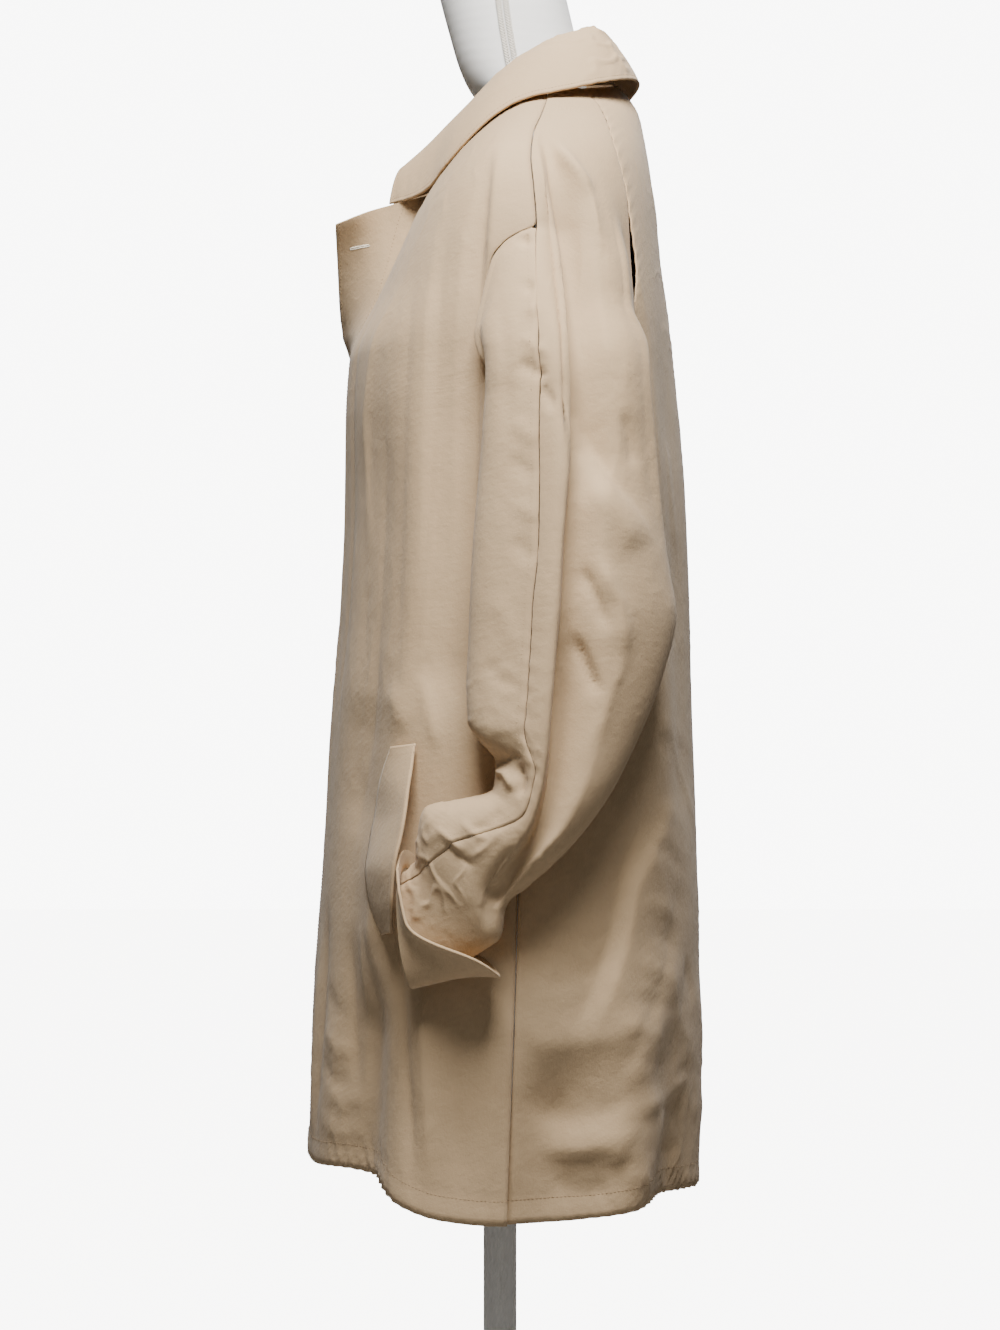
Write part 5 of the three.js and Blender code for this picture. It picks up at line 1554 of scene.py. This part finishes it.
def welt(side, seed):
    """A strip from the sewn edge to the free one, which is lifted straight out of the body's side."""
    step = np.linspace(WELT["step"][-1], 0, WELT_ROWS)[:, None]
    share = np.linspace(0, 1, WELT_COLUMNS)[None, :]
    row = {name: through(WELT["step"], WELT[name])(step) for name in WELT if name != "step"}
    y = lerp(row["sewnY"], row["freeY"], share)
    z = lerp(row["sewnZ"], row["freeZ"], share)
    grid = off_body(y, z, WELT_OFF + TWO_PLY)
    grid[..., 0] += row["lift"] * share**1.1
    placed = worn(grid, side)
    lift = 0.25 * waves(placed, 30, seed)
    outer = lifted(grid, lift)
    made = shell("pocket_welt_" + side, outer, cotton, TWO_PLY, mirror=side == "right")
    far = rims(outer)
    lines = [edge_line(outer[:, ::-1], far["right"][:, ::-1], away) for away in WELT_STITCHES]
    lines += [stitch_line(outer[::-1], far["top"][::-1], away) for away in WELT_STITCHES]
    sewn("pocket_welt_stitches_" + side, lines, 2.8, 2.0, mirror=side == "right")


for side, seed in (("left", 131), ("right", 141)):
    welt(side, seed)

# Collar
# A stand sewn to the neck edge and a turned-down leaf of two plies, edge-stitched all round. It lies on the
# shoulders behind and comes to soft points above the open fronts.
STAND_CLEAR = 1.5
STAND_TOP = 0.86
LEAF_ROUND = 8
COLLAR_COLUMNS, STAND_ROWS, LEAF_ROWS = 241, 16, 36
COLLAR_EVEN = 6
COLLAR_END = 0.7
COLLAR = table(
    ("at", "foldX", "foldY", "foldZ", "rimX", "rimY", "rimZ"),
    (-0.2, -50, 76, 1376, -78, 103, 1327),
    (0, 0, 78, 1384, 0, 119, 1335),
    (0.2, 50, 76, 1376, 78, 103, 1327),
    (0.38, 68, 42, 1363, 118, 47, 1310),
    (0.44, 63, 22, 1352, 119, 20, 1305),
    (0.5, 57, 2, 1340, 116, -7, 1290),
    (0.65, 46, -25, 1314, 102, -39, 1260),
    (0.8, 34, -45, 1296, 70, -63, 1236),
    (0.89, 25, -58, 1284, 51, -77, 1232),
    (1, 12, -81, 1266, 31, -93, 1231),
)
collar_at = {name: through(COLLAR["at"], COLLAR[name]) for name in COLLAR if name != "at"}
# Shares of the neck seam at which the back, the sleeve and the front end
BACK_END, SLEEVE_END, FRONT_END = 0.3, 0.4, 0.88


def neck_seam(at, side):
    """The neck edge from the centre back (0) to the collar's end on the placket (1), over the back, the
    sleeve, the front and the placket in turn."""
    s = np.clip(at / BACK_END, 0, 1)
    on_back = body_point(lerp(1, RAGLAN["turn"][0], s), lerp(NECK_BACK, RAGLAN["z"][0], s))
    s = np.clip((at - BACK_END) / (SLEEVE_END - BACK_END), 0, 1)
    on_sleeve = body_point(lerp(RAGLAN["turn"][0], 0.5, s), lerp(RAGLAN["z"][0], NECK_POINT, s))
    u = 1 - np.clip((at - SLEEVE_END) / (FRONT_END - SLEEVE_END), 0, 1)
    z = lerp(PLACKET_TOP, NECK_POINT, u**NECK_BEND)
    on_front = body_point(neck_turn(z), z)
    share = lerp(1, COLLAR_END, np.clip((at - FRONT_END) / (1 - FRONT_END), 0, 1))
    on_placket = placket_point(side, share, lerp(NECK_CORNER, PLACKET_TOP, share))
    at = at[..., None]
    rest = np.where(at < FRONT_END, on_front, on_placket)
    return np.where(at < BACK_END, on_back, np.where(at < SLEEVE_END, on_sleeve, rest))


def collar_line(share):
    """The collar's seam, fold and free edge and the level direction it falls in, from the left end (0) by the
    centre back (0.5) to the right end (1)."""
    at = np.abs(2 * share - 1)
    row = {name: collar_at[name](at) for name in collar_at}
    fold = np.stack((row["foldX"], row["foldY"], row["foldZ"]), axis=-1)
    rim = np.stack((row["rimX"], row["rimY"], row["rimZ"]), axis=-1)
    out = unit((rim - fold) * (1, 1, 0))
    left = share[..., None] <= 0.5
    seam = np.where(left, neck_seam(at, "left"), neck_seam(at, "right"))
    seam = seam - out * STAND_CLEAR + (0, 0, STAND_CLEAR)
    flip = np.where(left, 1, np.array((-1, 1, 1)))
    return seam * flip, fold * flip, rim * flip, out * flip


collar_shares = np.linspace(0, 1, COLLAR_COLUMNS)[None, :]
seam_line, fold_line, rim_line, out_line = collar_line(collar_shares)
up = np.linspace(0, 1, STAND_ROWS)[:, None, None]
stand_grid = lerp(seam_line, fold_line, up * STAND_TOP) - out_line * STAND_CLEAR * up
stand_piece = shell("collar_stand", evened(stand_grid, COLLAR_EVEN), cotton)

down = np.linspace(1, 0, LEAF_ROWS)[:, None, None]
bend = lerp(fold_line, rim_line, 0.35) + out_line * LEAF_ROUND + (0, 0, LEAF_ROUND)
leaf_grid = (1 - down) ** 2 * fold_line + 2 * down * (1 - down) * bend + down**2 * rim_line
leaf_grid = evened(leaf_grid, COLLAR_EVEN)
leaf_far = rims(leaf_grid)
leaf_edge = np.minimum(np.minimum(leaf_far["left"], leaf_far["right"]), leaf_far["foot"])
leaf_lift = (
    (0.6 + 1.2 * smooth(leaf_grid[..., 1], 30, 90)) * crumple(leaf_grid, 40, 151)
    + 0.4 * waves(leaf_grid, 60, 153)
    - 0.35 * np.exp(-(((leaf_edge - EDGE_STITCH) / 1.5) ** 2))
    + puckers(np.abs(leaf_far["foot"] - EDGE_STITCH), leaf_far["left"], 155, 16, 0.3, 9)
)
leaf_outer = lifted(leaf_grid, leaf_lift)
leaf_piece = shell("collar_leaf", leaf_outer, cotton, TWO_PLY)
leaf_lines = [stitch_line(leaf_outer, leaf_far["foot"], EDGE_STITCH)]
leaf_lines += [edge_line(leaf_outer, leaf_far["left"], EDGE_STITCH)]
leaf_lines += [edge_line(leaf_outer[:, ::-1], leaf_far["right"][:, ::-1], EDGE_STITCH)]
sewn("collar_stitches", leaf_lines, 2.8, 2.0)

# Top button
# A turned horn button with a raised rim round a shallow dish. It is sewn to the right front, under the left
# front's open corner.
BUTTON_RADIUS = 11
BUTTON_THICK = 3.6
BUTTON_DOWN = 26
BUTTON_SHARE = 0.3
BUTTON_CLEAR = 1.8
BUTTON_SIDES = 64
HORN_DARK = "#5a4632"
HORN_LIGHT = "#8d7354"

horn, horn_tree, horn_shader = finish_of("polished horn", Roughness=0.32, IOR=1.55)
horn_place = node(horn_tree, "ShaderNodeTexCoord")
mottle(horn_tree, horn_shader, horn_place, HORN_DARK, HORN_LIGHT, Scale=160.0, Distortion=1.5)


def button():
    """A disc whose face rises to a rim and sinks to a dish: a profile goes round its own axis."""
    z = float(NECK_CORNER - BUTTON_DOWN)
    centre = placket_point("right", BUTTON_SHARE, z)
    across = placket_point("right", BUTTON_SHARE + 0.1, z) - placket_point("right", BUTTON_SHARE - 0.1, z)
    upwards = placket_point("right", BUTTON_SHARE, z + 5) - placket_point("right", BUTTON_SHARE, z - 5)
    normal = unit(np.cross(across, upwards))
    half = BUTTON_THICK / 2
    centre = centre + normal * (half + BUTTON_CLEAR)
    profile = ((0, -half), (BUTTON_RADIUS - 1, -half), (BUTTON_RADIUS, 0), (BUTTON_RADIUS - 0.8, half))
    profile += ((BUTTON_RADIUS - 2.4, half - 0.1), (BUTTON_RADIUS - 4, half - 1.1), (0, half - 1.2))
    radius, height = np.array([(r, h) for r, h in rounded(profile, 0.7) if r > 0]).T
    first, second = unit(across), unit(np.cross(normal, across))
    angle = np.linspace(0, 2 * np.pi, BUTTON_SIDES, endpoint=False)
    ring = first * np.cos(angle)[:, None] + second * np.sin(angle)[:, None]
    rings = centre + radius[:, None, None] * ring + height[:, None, None] * normal
    mesh_piece("button", *closed_tube(rings), horn, "button", ("top_button",), mirror=True)


button()
